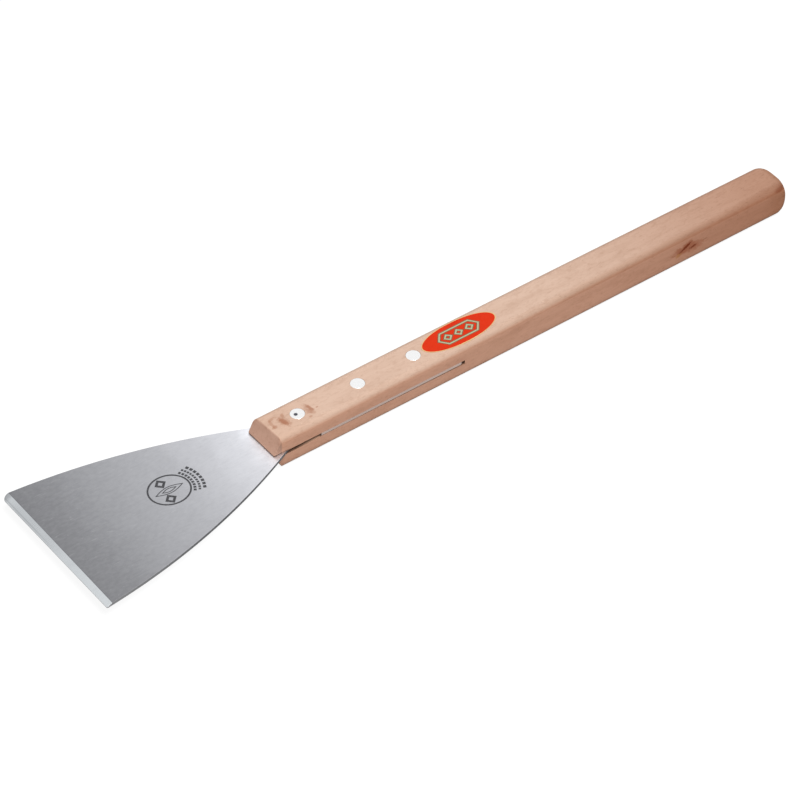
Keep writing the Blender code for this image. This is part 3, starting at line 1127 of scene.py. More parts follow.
    def knotted(self, recipe: Recipe, wood: NodeSocket) -> NodeSocket:
        """Add a small knot on the near side: slanting dark streaks in a reddish halo.

        Args:
            recipe: The material's recipe.
            wood: The colour so far.

        Returns:
            The colour with the knot.
        """
        stir = recipe.noise(self.knot_stir)
        fine = recipe.noise(self.streak_stir)
        side = recipe.spread(recipe.y, self.knot_face.at(self.near_y))
        parts = ((self.halos, stir, self.halo), (self.ambers, stir, self.amber),
                 (self.streaks, fine, self.burnt))
        for marks, rim, colour in parts:
            for mark in marks:
                wood = self.marked(recipe, wood, mark, self.knot, "xz", rim, side, colour)
        return wood

    def bruised(self, recipe: Recipe, wood: NodeSocket) -> NodeSocket:
        """Add the reddish marks that the riveting tool left on the top beside the first rivet.

        Args:
            recipe: The material's recipe.
            wood: The colour so far.

        Returns:
            The colour with the bruises.
        """
        stir = recipe.noise(self.bruise_stir)
        top = recipe.spread(recipe.z, self.bruise_face.at(self.top_z))
        for mark in self.bruises:
            wood = self.marked(recipe, wood, mark, self.rivet, "xy", stir, top, self.bruise)
        return wood


@dataclass(frozen=True)
class SawnBeech:
    """The walls of the saw cut: rougher than the sanded faces, and darkened by painted shade of
    the gap, but for its mouth.
    """

    seat_x: float
    mouth: Colour = (0.47, 0.28, 0.19)
    # Painted shade: the walls are dark as the gap's shade
    colour: Colour = (0.20, 0.105, 0.065)
    dark: Colour = (0.10, 0.05, 0.03)
    roughness: float = 0.85
    specular: float = 0.2
    kerf: Cloud = Cloud((900.0, 60.0, 900.0))
    kerf_dim: Range = Range(0.35, 0.7)
    mouth_rise: Range = Range(-0.022, -0.003)
    mouth_fall: Range = Range(-0.0015, 0.0, 1.0, 0.0)
    relief: float = 0.00008

    def material(self) -> Material:
        """Build the material: painted shade with saw marks, and the paler mouth beside the neck.

        Returns:
            The sawn beech.
        """
        recipe = Recipe("sawn_beech", self.roughness, specular=self.specular)
        kerf = recipe.noise(self.kerf)
        recipe.bump(kerf, self.relief)
        wall = recipe.lay(self.colour, kerf, self.kerf_dim, self.dark)
        rise = recipe.spread(recipe.x, self.mouth_rise.at(self.seat_x))
        fall = recipe.spread(recipe.x, self.mouth_fall.at(self.seat_x))
        return recipe.finish(recipe.mix(recipe.product(rise, fall), wall, self.mouth))


@dataclass(frozen=True)
class RivetMetal:
    """Satin aluminium with a fine grain, dull in the setting pit of the first head, where painted
    shade darkens it.
    """

    pit: tuple[float, float, float]
    pit_radius: float
    pit_reach: float = 1.5
    colour: Colour = (0.90, 0.90, 0.90)
    dull: Colour = (0.6, 0.6, 0.6)
    # Painted shade in the setting pit
    dark: Colour = (0.13, 0.13, 0.15)
    grain: Cloud = Cloud((1500.0, 1500.0, 1500.0))
    grained: Range = Range(0.4, 0.8, 0.0, 0.35)
    painted_pit_shade_and_dull: Range = Range(0.60, 1.05, 1.0, 0.0)
    pit_dull_roughness: float = 0.9
    polish: Range = Range(0.3, 0.7, 0.26, 0.38)

    def material(self) -> Material:
        """Build the material.

        Returns:
            The rivets' metal.
        """
        recipe = Recipe("rivet_aluminium", self.polish.start, metallic=1.0)
        grain = recipe.noise(self.grain)
        away = recipe.oval(self.pit, (self.pit_radius * self.pit_reach,) * 3, "xyz")
        painted_pit_shade_and_dull = recipe.spread(away, self.painted_pit_shade_and_dull)
        metal = recipe.lay(self.colour, grain, self.grained, self.dull)
        # Painted shade in the pit
        metal = recipe.mix(painted_pit_shade_and_dull, metal, self.dark)
        pit_rough = recipe.sum(Sum.TIMES, painted_pit_shade_and_dull, self.pit_dull_roughness)
        rough = recipe.sum(Sum.HIGHER, recipe.spread(grain, self.polish), pit_rough)
        return recipe.finish(metal, rough)


@dataclass(frozen=True)
class LabelPaper:
    """Coated paper printed red, with a pale gold rim."""

    centre: tuple[float, float]
    half: tuple[float, float]
    red: Colour = (0.70, 0.030, 0.002)
    deep: Colour = (0.62, 0.024, 0.002)
    gold: Colour = (0.74, 0.50, 0.24)
    rim: Range = Range(0.000675, 0.000825, 1.0, 0.0)
    cloud: Cloud = Cloud((160.0, 160.0, 160.0), 3)
    cover: Range = Range(0.35, 0.7, 0.0, 0.6)
    fibre: Cloud = Cloud((2200.0, 2200.0, 2200.0))
    relief: float = 0.000006
    roughness: float = 0.42
    specular: float = 0.15

    def material(self) -> Material:
        """Build the material.

        The rim is where the rest of the way out to the border, the length from the centre
        over its share of the oval less that length, is shorter than the rim's width.

        Returns:
            The printed paper.
        """
        recipe = Recipe("label_paper", self.roughness, specular=self.specular)
        recipe.bump(recipe.noise(self.fibre), self.relief)
        share = recipe.oval(self.centre, self.half, "xy")
        length = recipe.oval(self.centre, (1.0, 1.0), "xy")
        left = recipe.sum(Sum.TAKE, recipe.sum(Sum.OVER, length, share), length)
        red = recipe.lay(self.red, recipe.noise(self.cloud), self.cover, self.deep)
        return recipe.finish(recipe.lay(red, left, self.rim, self.gold))


@dataclass(frozen=True)
class PrintedInk:
    """An ink or a foil: one colour, slightly uneven in its cover."""

    name: str
    colour: Colour
    thin: Colour
    roughness: float
    cloud: Cloud = Cloud((900.0, 900.0, 900.0), 3, 0.6)
    cover: Range = Range(0.5, 0.8)

    def material(self) -> Material:
        """Build the material of an even gloss."""
        recipe = Recipe(self.name, self.roughness)
        return recipe.finish(recipe.lay(self.colour, recipe.noise(self.cloud), self.cover, self.thin))


LABEL_SILVER = PrintedInk("label_silver", (0.46, 0.46, 0.29), (0.30, 0.28, 0.15), 0.4)
LABEL_LINE = PrintedInk("label_line", (0.13, 0.075, 0.028), (0.20, 0.07, 0.02), 0.5)
STAMP_INK = PrintedInk("stamp_ink", (0.030, 0.030, 0.034), (0.12, 0.12, 0.13), 0.6)


class BladeFinish(Enum):
    """Place of each of the blade's finishes among its materials."""

    BRUSHED = 0
    GROUND = 1
    SHEARED = 2


@dataclass
class Blade:
    """The flared blade with its ground strip, neck, notch and tang."""

    edge_x: float
    under_z: float
    top_z: float
    tang_end_x: float

    # Outline in front of the handle
    length: float = 0.158
    width: float = 0.120
    side_radius: float = 0.482
    fillet_radius: float = 0.0193
    neck_setback: float = 0.0180
    far_corner: float = 0.0040
    near_corner: float = 0.0008

    # Ground strip along the cutting edge
    strip: float = 0.0045
    strip_skew: float = 0.0065
    skew_reach: float = 0.030
    land: float = 0.0004

    # Notch at the neck and tang in the saw cut
    notch_depth: float = 0.0019
    notch_length: float = 0.0370
    handle_half_width: float = 0.0140
    tang_corner: float = 0.0020

    # Broken edges: their radius, and the most that it takes of the thickness
    arris: float = 0.00022
    arris_share: float = 0.45

    # Lean of a face, as its normal's height: over the first it is top, under the second rim
    top_lean: float = 0.5
    rim_lean: float = 0.8

    # Steps between rings, and points round a ring
    arc_steps: int = 12
    side_steps: int = 64
    fillet_crowding: float = 0.7
    section: tuple[int, int, int] = (16, 2, 6)

    def neck_centre(self) -> tuple[float, float]:
        """Centre of the fillet at the neck, counted from the middle of the cutting edge."""
        neck = self.handle_half_width - self.notch_depth
        return self.length + self.neck_setback, neck + self.fillet_radius

    def side_centre(self) -> tuple[float, float]:
        """Centre of the long side's arc, which meets the edge's corner and touches the fillet.

        It lies on the circles of the side's radius round the corner and of the sum of both
        radii round the fillet's centre, on the side away from the outline.

        Returns:
            The centre, counted from the middle of the cutting edge.
        """
        corner = np.array([0, self.width / 2])
        neck = np.array(self.neck_centre())
        span = neck - corner
        length = float(np.hypot(*span))
        reach = self.side_radius + self.fillet_radius
        along = (self.side_radius ** 2 - reach ** 2 + length ** 2) / (2 * length)
        aside = math.sqrt(self.side_radius ** 2 - along ** 2)
        unit = span / length
        centre = corner + unit * along + np.array([unit[1], -unit[0]]) * aside
        return float(centre[0]), float(centre[1])

    def breaks(self, corner: float) -> dict[str, float]:
        """Distances from the cutting edge at which one form of a side gives way to the next.

        Args:
            corner: Radius of the corner at the cutting edge.

        Returns:
            Each distance by its name, and how far out the centre of the corner lies.
        """
        centre_x, centre_y = self.side_centre()
        neck_x, neck_y = self.neck_centre()
        inner = self.side_radius - corner
        rise = math.sqrt(inner ** 2 - (corner - centre_x) ** 2)
        share = self.side_radius / (self.side_radius + self.fillet_radius)
        return {
            "corner_y": centre_y + rise,
            "corner": centre_x + (corner - centre_x) * self.side_radius / inner,
            "fillet": centre_x + (neck_x - centre_x) * share,
            "neck": neck_x,
            "notch": self.length + self.notch_length - self.notch_depth,
            "tang": self.length + self.notch_length,
            "end": self.tang_end_x - self.edge_x,
        }

    def half_width(self, along: np.ndarray, corner: float) -> np.ndarray:
        """How far one side lies from the middle line.

        From the cutting edge on it is the corner's arc, the long arc, the neck's fillet, the
        straight neck, the notch's quarter arc, the straight tang and the tang's corner. Each
        arc is its centre's distance plus or minus the root of its radius squared less the
        distance from its centre along the blade squared.

        Args:
            along: Distances from the cutting edge.
            corner: Radius of the corner at the cutting edge.

        Returns:
            The half widths.
        """
        at = self.breaks(corner)
        centre_x, centre_y = self.side_centre()
        neck_x, neck_y = self.neck_centre()
        neck = self.handle_half_width - self.notch_depth
        tang_corner_x = at["end"] - self.tang_corner

        def rise(centre: float, radius: float) -> np.ndarray:
            """Height of an arc over its centre, zero past its ends."""
            return np.sqrt(np.clip(radius ** 2 - (along - centre) ** 2, 0, None))

        return np.select(
            [along <= at["corner"], along <= at["fillet"], along <= at["neck"],
             along <= at["notch"], along <= at["tang"], along <= tang_corner_x],
            [at["corner_y"] + rise(corner, corner), centre_y + rise(centre_x, self.side_radius),
             neck_y - rise(neck_x, self.fillet_radius), neck + np.zeros_like(along),
             self.handle_half_width - rise(at["notch"], self.notch_depth),
             self.handle_half_width + np.zeros_like(along)],
            self.handle_half_width - self.tang_corner + rise(tang_corner_x, self.tang_corner),
        )

    def stations(self) -> np.ndarray:
        """Work out where the blade has a ring, with rings closer together on the arcs.

        Steps on an arc go with 1 less the cosine of the turn, and on the fillet with a power
        of the share of the way.

        Returns:
            Rising distances from the cutting edge.
        """
        at = self.breaks(self.far_corner)
        ease = 1 - np.cos(np.linspace(0, QUARTER, self.arc_steps + 1))
        fillet = np.linspace(0, 1, 2 * self.arc_steps + 1) ** self.fillet_crowding
        places = [
            ease * at["corner"], ease * self.near_corner, [self.strip],
            np.linspace(at["corner"], at["fillet"], self.side_steps),
            at["fillet"] + (at["neck"] - at["fillet"]) * fillet,
            at["tang"] - ease * self.notch_depth,
            np.linspace(at["tang"], at["end"] - self.tang_corner, self.arc_steps),
            at["end"] - ease * self.tang_corner,
        ]
        return np.unique(np.round(np.concatenate(places), 7))

    def rings(self) -> np.ndarray:
        """Rings of the plate: rounded bars between both sides, under the top's line.

        The top rises evenly from the land over the ground strip to the full thickness. The
        strip widens to the far side: its line is sheared along X by the skew times y, and
        the shear dies out evenly to the cutting edge and over the reach behind the strip.

        Returns:
            Rings by points by coordinates.
        """
        along = self.stations()
        far = self.half_width(along, self.far_corner)
        near = self.half_width(along, self.near_corner)
        full = self.top_z - self.under_z
        thick = np.interp(along, [0, self.strip], [self.land, full])
        centres = np.stack([self.edge_x + along, (far - near) / 2, self.under_z + thick / 2], axis=1)
        radius = np.minimum(self.arris, self.arris_share * thick)
        shares = bar_shares(*self.section)
        rings = bar_rings(centres, (far + near) / 2, thick / 2, radius, shares)
        shear = np.interp(along, [0, self.strip, self.skew_reach], [0, self.strip_skew, 0])
        rings[..., 0] += shear[:, None] * rings[..., 1]
        return rings

    def build(self, bores: Sequence[Shell], finishes: Sequence[Material]) -> Object:
        """Make the blade and give each of its faces the finish that it has.

        Args:
            bores: What is taken out for the rivets.
            finishes: The brushed, the ground and the sheared steel.

        Returns:
            The blade.
        """
        mesh = cut_mesh(Skin(self.rings(), Ends.CAPS).shell().mesh("blade_plate"), bores)
        normals, centres = face_table(mesh)
        along = centres[:, 0] - self.edge_x
        ahead = along < self.strip + self.strip_skew * centres[:, 1]
        ground = ahead & (normals[:, 2] > self.top_lean)
        flat = np.where(ground, BladeFinish.GROUND.value, BladeFinish.BRUSHED.value)
        rim = np.abs(normals[:, 2]) < self.rim_lean
        finish = np.where(rim, BladeFinish.SHEARED.value, flat)
        mesh.polygons.foreach_set("material_index", finish)
        return make_piece("blade_plate", mesh, finishes, ["blade"])


@dataclass
class Handle:
    """The handle: a rounded beech bar with leaning front faces, a saw cut and a round butt."""

    front_x: float
    middle_z: float
    half_width: float
    length: float = 0.426
    edge_radius: float = 0.0042

    # Draw-in towards the butt, and the butt's rounding
    taper_length: float = 0.180
    taper_drop: float = 0.0005
    butt_length: float = 0.0080
    butt_inset: float = 0.0016
    butt_edge_radius: float = 0.0110
    butt_lift: float = 0.0015

    # Front faces of both cheeks
    upper_lean: float = 0.0057
    upper_step: float = 0.0015
    lower_lean: float = 0.0070
    twist: float = 0.0008
    lean_reach: float = 0.0160
    arris: float = 0.0004

    # Saw cut: its gaps over and under the tang, from the front to the end, and its walls' lean
    slot_length: float = 0.152
    slot_above: float = 0.00005
    slot_below: tuple[float, ...] = (0.00040, 0.00040, 0.00005, 0.00045)
    slot_step: float = 0.0010
    slot_corner: float = 0.0003
    wall_lean: float = 0.9

    # Steps between rings, and points round a ring
    body_span: float = 0.006
    arc_steps: int = 16
    section: tuple[int, int, int] = (8, 8, 8)
    slot_section: tuple[int, int, int] = (1, 1, 1)

    def stations(self) -> tuple[np.ndarray, np.ndarray, np.ndarray]:
        """Work out the rings' places, closer together at the front and at the butt.

        The front's arris is a quarter circle and the butt a quarter ellipse: the distance
        goes with the cosine or the sine of the turn, and the inset with what is left of 1.

        Returns:
            Distance from the front, inset and edge radius of each ring.
        """
        turn = np.linspace(0, QUARTER, self.arc_steps + 1)
        front = self.arris * (1 - np.cos(turn))
        front_inset = self.arris * (1 - np.sin(turn))
        butt = self.length - self.butt_length * (1 - np.sin(turn))
        drawn_in = 1 - np.cos(turn)
        count = int(self.length / self.body_span)
        body = np.linspace(self.lean_reach, self.length - self.butt_length, count, endpoint=False)
        along = np.concatenate([front, body, butt])
        inset = np.concatenate([front_inset, 0 * body, self.butt_inset * drawn_in])
        growth = self.butt_edge_radius - self.edge_radius
        radius = np.concatenate([self.edge_radius - front_inset, self.edge_radius + 0 * body,
                                 self.edge_radius + growth * drawn_in])
        return along, inset, radius

    def rings(self) -> np.ndarray:
        """Rings of the bar, sheared at the front so that both cheeks lean back.

        A point at height h over the middle moves back by the lean times h over half the
        thickness, and this dies out evenly over the lean's reach. The upper cheek is sawn a
        little askew: its lean grows by the twist from the middle to the near side, and its
        foot stands a step ahead of the lower cheek's. Where the butt draws in, the underside
        rises by the lift times the depth below the middle.

        Returns:
            Rings by points by coordinates.
        """
        along, inset, radius = self.stations()
        thinned = self.taper_drop * np.clip(1 - (self.length - along) / self.taper_length, 0, 1)
        centres = np.stack([self.front_x + along, 0 * along, self.middle_z + 0 * along], axis=1)
        rings = bar_rings(centres, self.half_width - inset, self.middle_z - thinned - inset,
                          radius, bar_shares(*self.section))
        height = (rings[..., 2] - self.middle_z) / self.middle_z
        upper_lean = self.upper_lean - self.twist * rings[..., 1] / self.half_width
        upper = upper_lean * height - self.upper_step * (1 - height)
        lean = np.where(height > 0, upper, -self.lower_lean * height)
        fade = np.clip((self.lean_reach - along) / (self.lean_reach - self.arris), 0, 1)
        rings[..., 0] += lean * fade[:, None]
        drawn_in = np.where(along > self.length / 2, inset / self.butt_inset, 0)
        rings[..., 2] += self.butt_lift * drawn_in[:, None] * np.clip(-height, 0, 1)
        return rings

    def saw_cut(self, low: float, high: float, seat_x: float) -> Shell:
        """The slot for the tang, open at the front and both sides.

        The tang lies close under the slot's roof. The floor steps up to it where the tang
        begins to fill the slot, and from there falls away evenly towards the end.

        Args:
            low: The tang's underside.
            high: The tang's top.
            seat_x: Where the tang begins to fill the slot.

        Returns:
            The slot's box.
        """
        past = 2 * self.half_width
        start = self.front_x - past
        end = self.front_x + self.slot_length
        along = np.array([start, seat_x - self.slot_step, seat_x, end])
        roof = high + self.slot_above
        floor = low - np.array(self.slot_below)
        centres = np.stack([along, 0 * along, (roof + floor) / 2], axis=1)
        even = np.ones(len(along))
        rings = bar_rings(centres, past * even, (roof - floor) / 2, self.slot_corner * even,
                          bar_shares(*self.slot_section))
        return Skin(rings, Ends.CAPS).shell()

    def build(self, slot: Shell, bores: Sequence[Shell], finishes: Sequence[Material]) -> Object:
        """Make the handle, with the walls of its saw cut in the sawn finish.

        Args:
            slot: The saw cut.
            bores: What is taken out for the rivets.
            finishes: The sanded and the sawn beech.

        Returns:
            The handle.
        """
        stock = Skin(self.rings(), Ends.CAPS).shell().mesh("handle_bar")
        mesh = cut_mesh(stock, [slot, *bores])
        normals, centres = face_table(mesh)
        over = centres[:, 2] > slot.points[:, 2].min() - self.slot_above
        under = centres[:, 2] < slot.points[:, 2].max() + self.slot_above
        level = np.abs(normals[:, 2]) > self.wall_lean
        ahead = normals[:, 0] < -self.wall_lean
        walls = over & under & (level | ahead)
        mesh.polygons.foreach_set("material_index", walls.astype(int))
        return make_piece("handle_bar", mesh, finishes, ["handle"])


@dataclass
class Rivet:
    """One two-part rivet: a shank with a head above, and a tube with a head below."""

    number: int
    centre: np.ndarray
    top_z: float
    pit: bool

    # Heads: radius, thickness, rounded rim and fall of the crown
    head_radius: float = 0.0050
    head: float = 0.0016
    rim: float = 0.00030
    crown: float = 0.00008

    # Tube and shank, and the gaps round them
    tube_radius: float = 0.0032
    bore_radius: float = 0.0025
    mouth_gap: float = 0.0040
    shank_gap: float = 0.0003
    tip_gap: float = 0.0020
    tip: float = 0.0004
    pocket_gap: float = 0.00006

    # Setting pit in the first head
    pit_radius: float = 0.0011
    pit_depth: float = 0.0005
    pit_offset: float = 0.0013

    # Points round the axis, and steps out to the rim and round it
    spokes: int = 96
    crown_rings: int = 30
    rim_steps: int = 5

    def head_profile(self) -> np.ndarray:
        """Radius and depth of a head from its middle to the underside of its overhang.

        The crown falls by the crown's drop times the share of the radius squared, and the rim
        is a quarter circle.

        Returns:
            Rows of radius and depth.
        """
        flat = np.linspace(0, self.head_radius - self.rim, self.crown_rings)
        fall = self.crown * (flat / self.head_radius) ** 2
        turn = np.linspace(0, QUARTER, self.rim_steps + 1)[1:]
        edge = flat[-1] + self.rim * np.sin(turn)
        drop = fall[-1] + self.rim * (1 - np.cos(turn))
        radius = np.concatenate([flat, edge, [self.head_radius]])
        depth = np.concatenate([fall, drop, [self.head]])
        return np.stack([radius, depth], axis=1)

    def upper(self) -> Shell:
        """The shank half, with the setting pit pressed into its head where there is one.

        The pit lowers the head by its depth times 1 less the square of the distance from the
        pit's middle over the pit's radius.

        Returns:
            The upper half.
        """
        head = self.head_profile()
        shank = self.bore_radius - self.shank_gap
        tip = self.top_z - self.head + self.tip_gap - self.head
        body = np.array([[shank, self.head], [shank, tip - self.tip], [shank - self.tip, tip], [0, tip]])
        profile = np.vstack([head, body])
        profile[:, 1] = self.top_z - profile[:, 1]
        rings = turned_rings(profile, self.centre, self.spokes)
        if self.pit:
            middle = self.centre - (self.pit_offset, 0)
            away = np.hypot(rings[..., 0] - middle[0], rings[..., 1] - middle[1]) / self.pit_radius
            crown = rings[:self.crown_rings]
            crown[..., 2] -= self.pit_depth * np.clip(1 - away[:self.crown_rings] ** 2, 0, None)
        return Skin(rings, Ends.POLES).shell()

    def lower(self) -> Shell:
        """The tube half, closed at its head, which is the upper head turned over.

        Returns:
            The lower half.
        """
        head = self.head_profile()
        mouth = self.top_z - self.head - self.mouth_gap
        tube = np.array([[self.tube_radius, self.head], [self.tube_radius, mouth],
                         [self.bore_radius, mouth], [self.bore_radius, self.head], [0, self.head]])
        return Skin(turned_rings(np.vstack([head, tube]), self.centre, self.spokes), Ends.POLES).shell()

    def bore(self) -> Shell:
        """What the wood and the blade lose: a bore with a pocket for the head at each end.

        Returns:
            The bore, which runs past both ends.
        """
        past = self.head
        bore = self.tube_radius + self.pocket_gap
        pocket = self.head_radius + self.pocket_gap
        floor = self.head + self.pocket_gap
        profile = np.array([
            [0, self.top_z + past], [pocket, self.top_z + past], [pocket, self.top_z - floor],
            [bore, self.top_z - floor], [bore, floor], [pocket, floor], [pocket, -past], [0, -past],
        ])
        return Skin(turned_rings(profile, self.centre, self.spokes), Ends.POLES).shell()

    def build(self, finish: Material) -> list[Object]:
        """Make both halves.

        Args:
            finish: The rivet's metal.

        Returns:
            The two halves.
        """
        pieces = []
        for name, half in (("shank", self.upper()), ("tube", self.lower())):
            title = f"rivet_{name}_half_{self.number}"
            node = f"rivet_{name}_{self.number}"
            pieces.append(make_piece(title, half.mesh(title), [finish], [node]))
        return pieces


@dataclass
class Label:
    """The oval paper label, a thin skin over the handle's rounded top, and its foil print."""

    centre_x: float
    half_length: float
    half_width: float
    top_z: float
    handle_half_width: float
    edge_radius: float

    # Heights: the glue's, the paper's and the foil's
    glue: float = 0.0001
    thickness: float = 0.00016
    foil: float = 0.00004

    # Foil design: its line and that line's dark edge, the hexagon, and the row in it
    foil_line: float = 0.0011
    foil_edge: float = 0.0011
    hexagon: tuple[float, float] = (0.0318, 0.0112)
    shoulder: float = 0.72
    diamond: tuple[float, float] = (0.0053, 0.0050)
    diamonds: int = 3
    pitch: float = 0.0086

    # Points round an oval, and ovals from the middle to the border
    spokes: int = 120
    ovals: int = 14

    def skin(self, share: np.ndarray, lift: float) -> np.ndarray:
        """Rings of ovals that lie on the handle's top, lifted off it.

        A ring's point is the centre plus its share of the half length times the cosine along
        and of the half width times the sine across. Its height is the handle's: flat up to
        the long edge's rounding, and there the root of the radius squared less the overhang
        squared.

        Args:
            share: Share of the oval that each ring has.
            lift: Height over the wood.

        Returns:
            Rings by points by coordinates.
        """
        angle = np.arange(self.spokes) * 2 * math.pi / self.spokes
        x = self.centre_x + self.half_length * share[:, None] * np.cos(angle)
        y = self.half_width * share[:, None] * np.sin(angle)
        over = np.clip(np.abs(y) - (self.handle_half_width - self.edge_radius), 0, None)
        drop = self.edge_radius + lift - np.sqrt((self.edge_radius + lift) ** 2 - over ** 2)
        return np.stack([x, y, self.top_z + lift - drop], axis=-1)

    def paper(self) -> Shell:
        """The paper, from the middle of its underside out and back to the middle of its top.

        Returns:
            The paper as a closed shell.
        """
        share = np.linspace(0, 1, self.ovals)
        under = self.skin(share, self.glue)
        over = self.skin(share[::-1], self.glue + self.thickness)
        return Skin(np.vstack([under, over]), Ends.POLES).shell()

    def frame_path(self) -> np.ndarray:
        """Outline of the long hexagon round the label's middle, pointed at both ends.

        Returns:
            Six rows of x and y.
        """
        far = self.shoulder
        unit = np.array([(1, 0), (far, 1), (-far, 1), (-1, 0), (-far, -1), (far, -1)])
        return unit * (self.hexagon[0] / 2, self.hexagon[1] / 2) + (self.centre_x, 0)

    def print(self, grow: float, low: float, high: float) -> Shell:
        """The foil design: a hexagon with a row of open diamonds in it.

        Args:
            grow: How much wider each line is than the foil, for its outline.
            low: Level of the underside.
            high: Level of the top.

        Returns:
            The design.
        """
        line = self.foil_line + grow
        shells = [ribbon(self.frame_path(), line, low, high, True)]
        for step in range(self.diamonds):
            offset = (step - (self.diamonds - 1) / 2) * self.pitch
            centre = np.array([self.centre_x + offset, 0])
            shells.append(ribbon(lozenge(centre, *self.diamond), line, low, high, True))
        return joined(shells)

    def build(self, paper: Material, foil: Material, outline: Material) -> list[Object]:
        """Make the label and its print.

        Args:
            paper: Finish of the paper.
            foil: Finish of the foil.
            outline: Finish of the dark line round the foil.

        Returns:
            The label, its outlines and its foil.
        """
        level = self.top_z + self.glue + self.thickness
        under = self.print(self.foil_edge, level - self.foil, level + self.foil / 2)
        over = self.print(0.0, level - self.foil, level + self.foil)
        return [
            make_piece("label_skin", self.paper().mesh("label_skin"), [paper], ["oval_label"]),
            make_piece("label_outline", under.mesh("label_outline"), [outline]),
            make_piece("label_foil", over.mesh("label_foil"), [foil]),
        ]


@dataclass
class Stamp:
    """The plain inked stamp on the blade: marks in an oval, and rows of dashes behind it."""

    edge_x: float
    blade_top: float
    ink: float = 0.00003

    # Oval, and its middle from the cutting edge and from the middle line
    from_edge: float = 0.0878
    aside: float = 0.0012
    half_length: float = 0.0141
    half_width: float = 0.0129
    line: float = 0.0012

    # Leaves and squares in the oval
    thin_line: float = 0.0006
    leaf_length: float = 0.0200
    leaf_width: float = 0.0056
    leaf_sizes: tuple[float, ...] = (1.0, 0.5)
    square: float = 0.0062
    square_line: float = 0.0017
    square_places: tuple[tuple[float, float], ...] = ((-0.0018, 0.0076), (-0.0036, -0.0072))

    # Rows of dashes on arcs round the oval's middle
    row_radii: tuple[float, ...] = (0.0163, 0.0193, 0.0225)
    row_lines: tuple[float, ...] = (0.0019, 0.0016, 0.0021)
    row_dashes: tuple[int, ...] = (9, 11, 8)
    row_reach: tuple[float, ...] = (math.radians(38), math.radians(35), math.radians(31))
    dash_share: float = 0.70
    dash_steps: int = 4

    # Steps round the oval and along a leaf
    steps: int = 96

    def centre(self) -> np.ndarray:
        """Middle of the oval, as x and y."""
        return np.array([self.edge_x + self.from_edge, self.aside])

    def dashes(self, row: int, low: float, high: float) -> list[Shell]:
        """One row of dashes on an arc behind the oval.

        Args:
            row: Number of the row, counted outwards.
            low: Level of the underside.
            high: Level of the top.

        Returns:
            The dashes.
        """
        radius = self.row_radii[row]
        reach = self.row_reach[row]
        pitch = 2 * reach / self.row_dashes[row]
        shells = []
        for step in range(self.row_dashes[row]):
            start = step * pitch - reach
            end = start + pitch * self.dash_share
            arc = arc_path(self.centre(), radius, start, end, self.dash_steps)
            shells.append(ribbon(arc, self.row_lines[row], low, high, False))
        return shells

    def shell(self) -> Shell:
        """All of the stamp as one shell.

        In the oval there are a long leaf, each side of which is a cosine's half wave, the
        same leaf at half the size, and two bold squares that stand on a corner.

        Returns:
            The stamp.
        """
        low = self.blade_top - self.ink
        high = self.blade_top + self.ink
        unit = arc_path(np.zeros(2), 1.0, 0, 2 * math.pi, self.steps)[:-1]
        centre = self.centre()
        oval = centre + unit * (self.half_length, self.half_width)
        share = np.linspace(-1, 1, self.steps)
        side = np.stack([share * self.leaf_length, np.cos(share * QUARTER) * self.leaf_width], axis=1)
        leaf = np.vstack([side[:-1], -side[:-1]]) / 2
        shells = [ribbon(oval, self.line, low, high, True)]
        for size in self.leaf_sizes:
            shells.append(ribbon(centre + leaf * size, self.thin_line, low, high, True))
        for place in self.square_places:
            square = lozenge(centre + place, self.square, self.square)
            shells.append(ribbon(square, self.square_line, low, high, True))
        for row in range(len(self.row_dashes)):
            shells.extend(self.dashes(row, low, high))
        return joined(shells)

    def build(self, ink: Material) -> Object:
        """Make the stamp.

        Args:
            ink: The ink.

        Returns:
            The stamp.
        """
        return make_piece("blade_stamp", self.shell().mesh("blade_stamp"), [ink])


@dataclass
class Lamp:
    """A soft square lamp that looks at a point of the scraper."""

    name: str
    place: tuple[float, float, float]
    target: tuple[float, float, float]
    size: float
    watts: float

    def build(self) -> None:
        """Add the lamp."""
        data = bpy.data.lights.new(self.name, "AREA")
        data.size = self.size
        data.energy = self.watts
        lamp = placed(self.name, data)
        lamp.location = self.place
        aim = lamp.location.copy()
        aim.xyz = self.target
        lamp.rotation_euler = (aim - lamp.location).to_track_quat("-Z", "Y").to_euler()


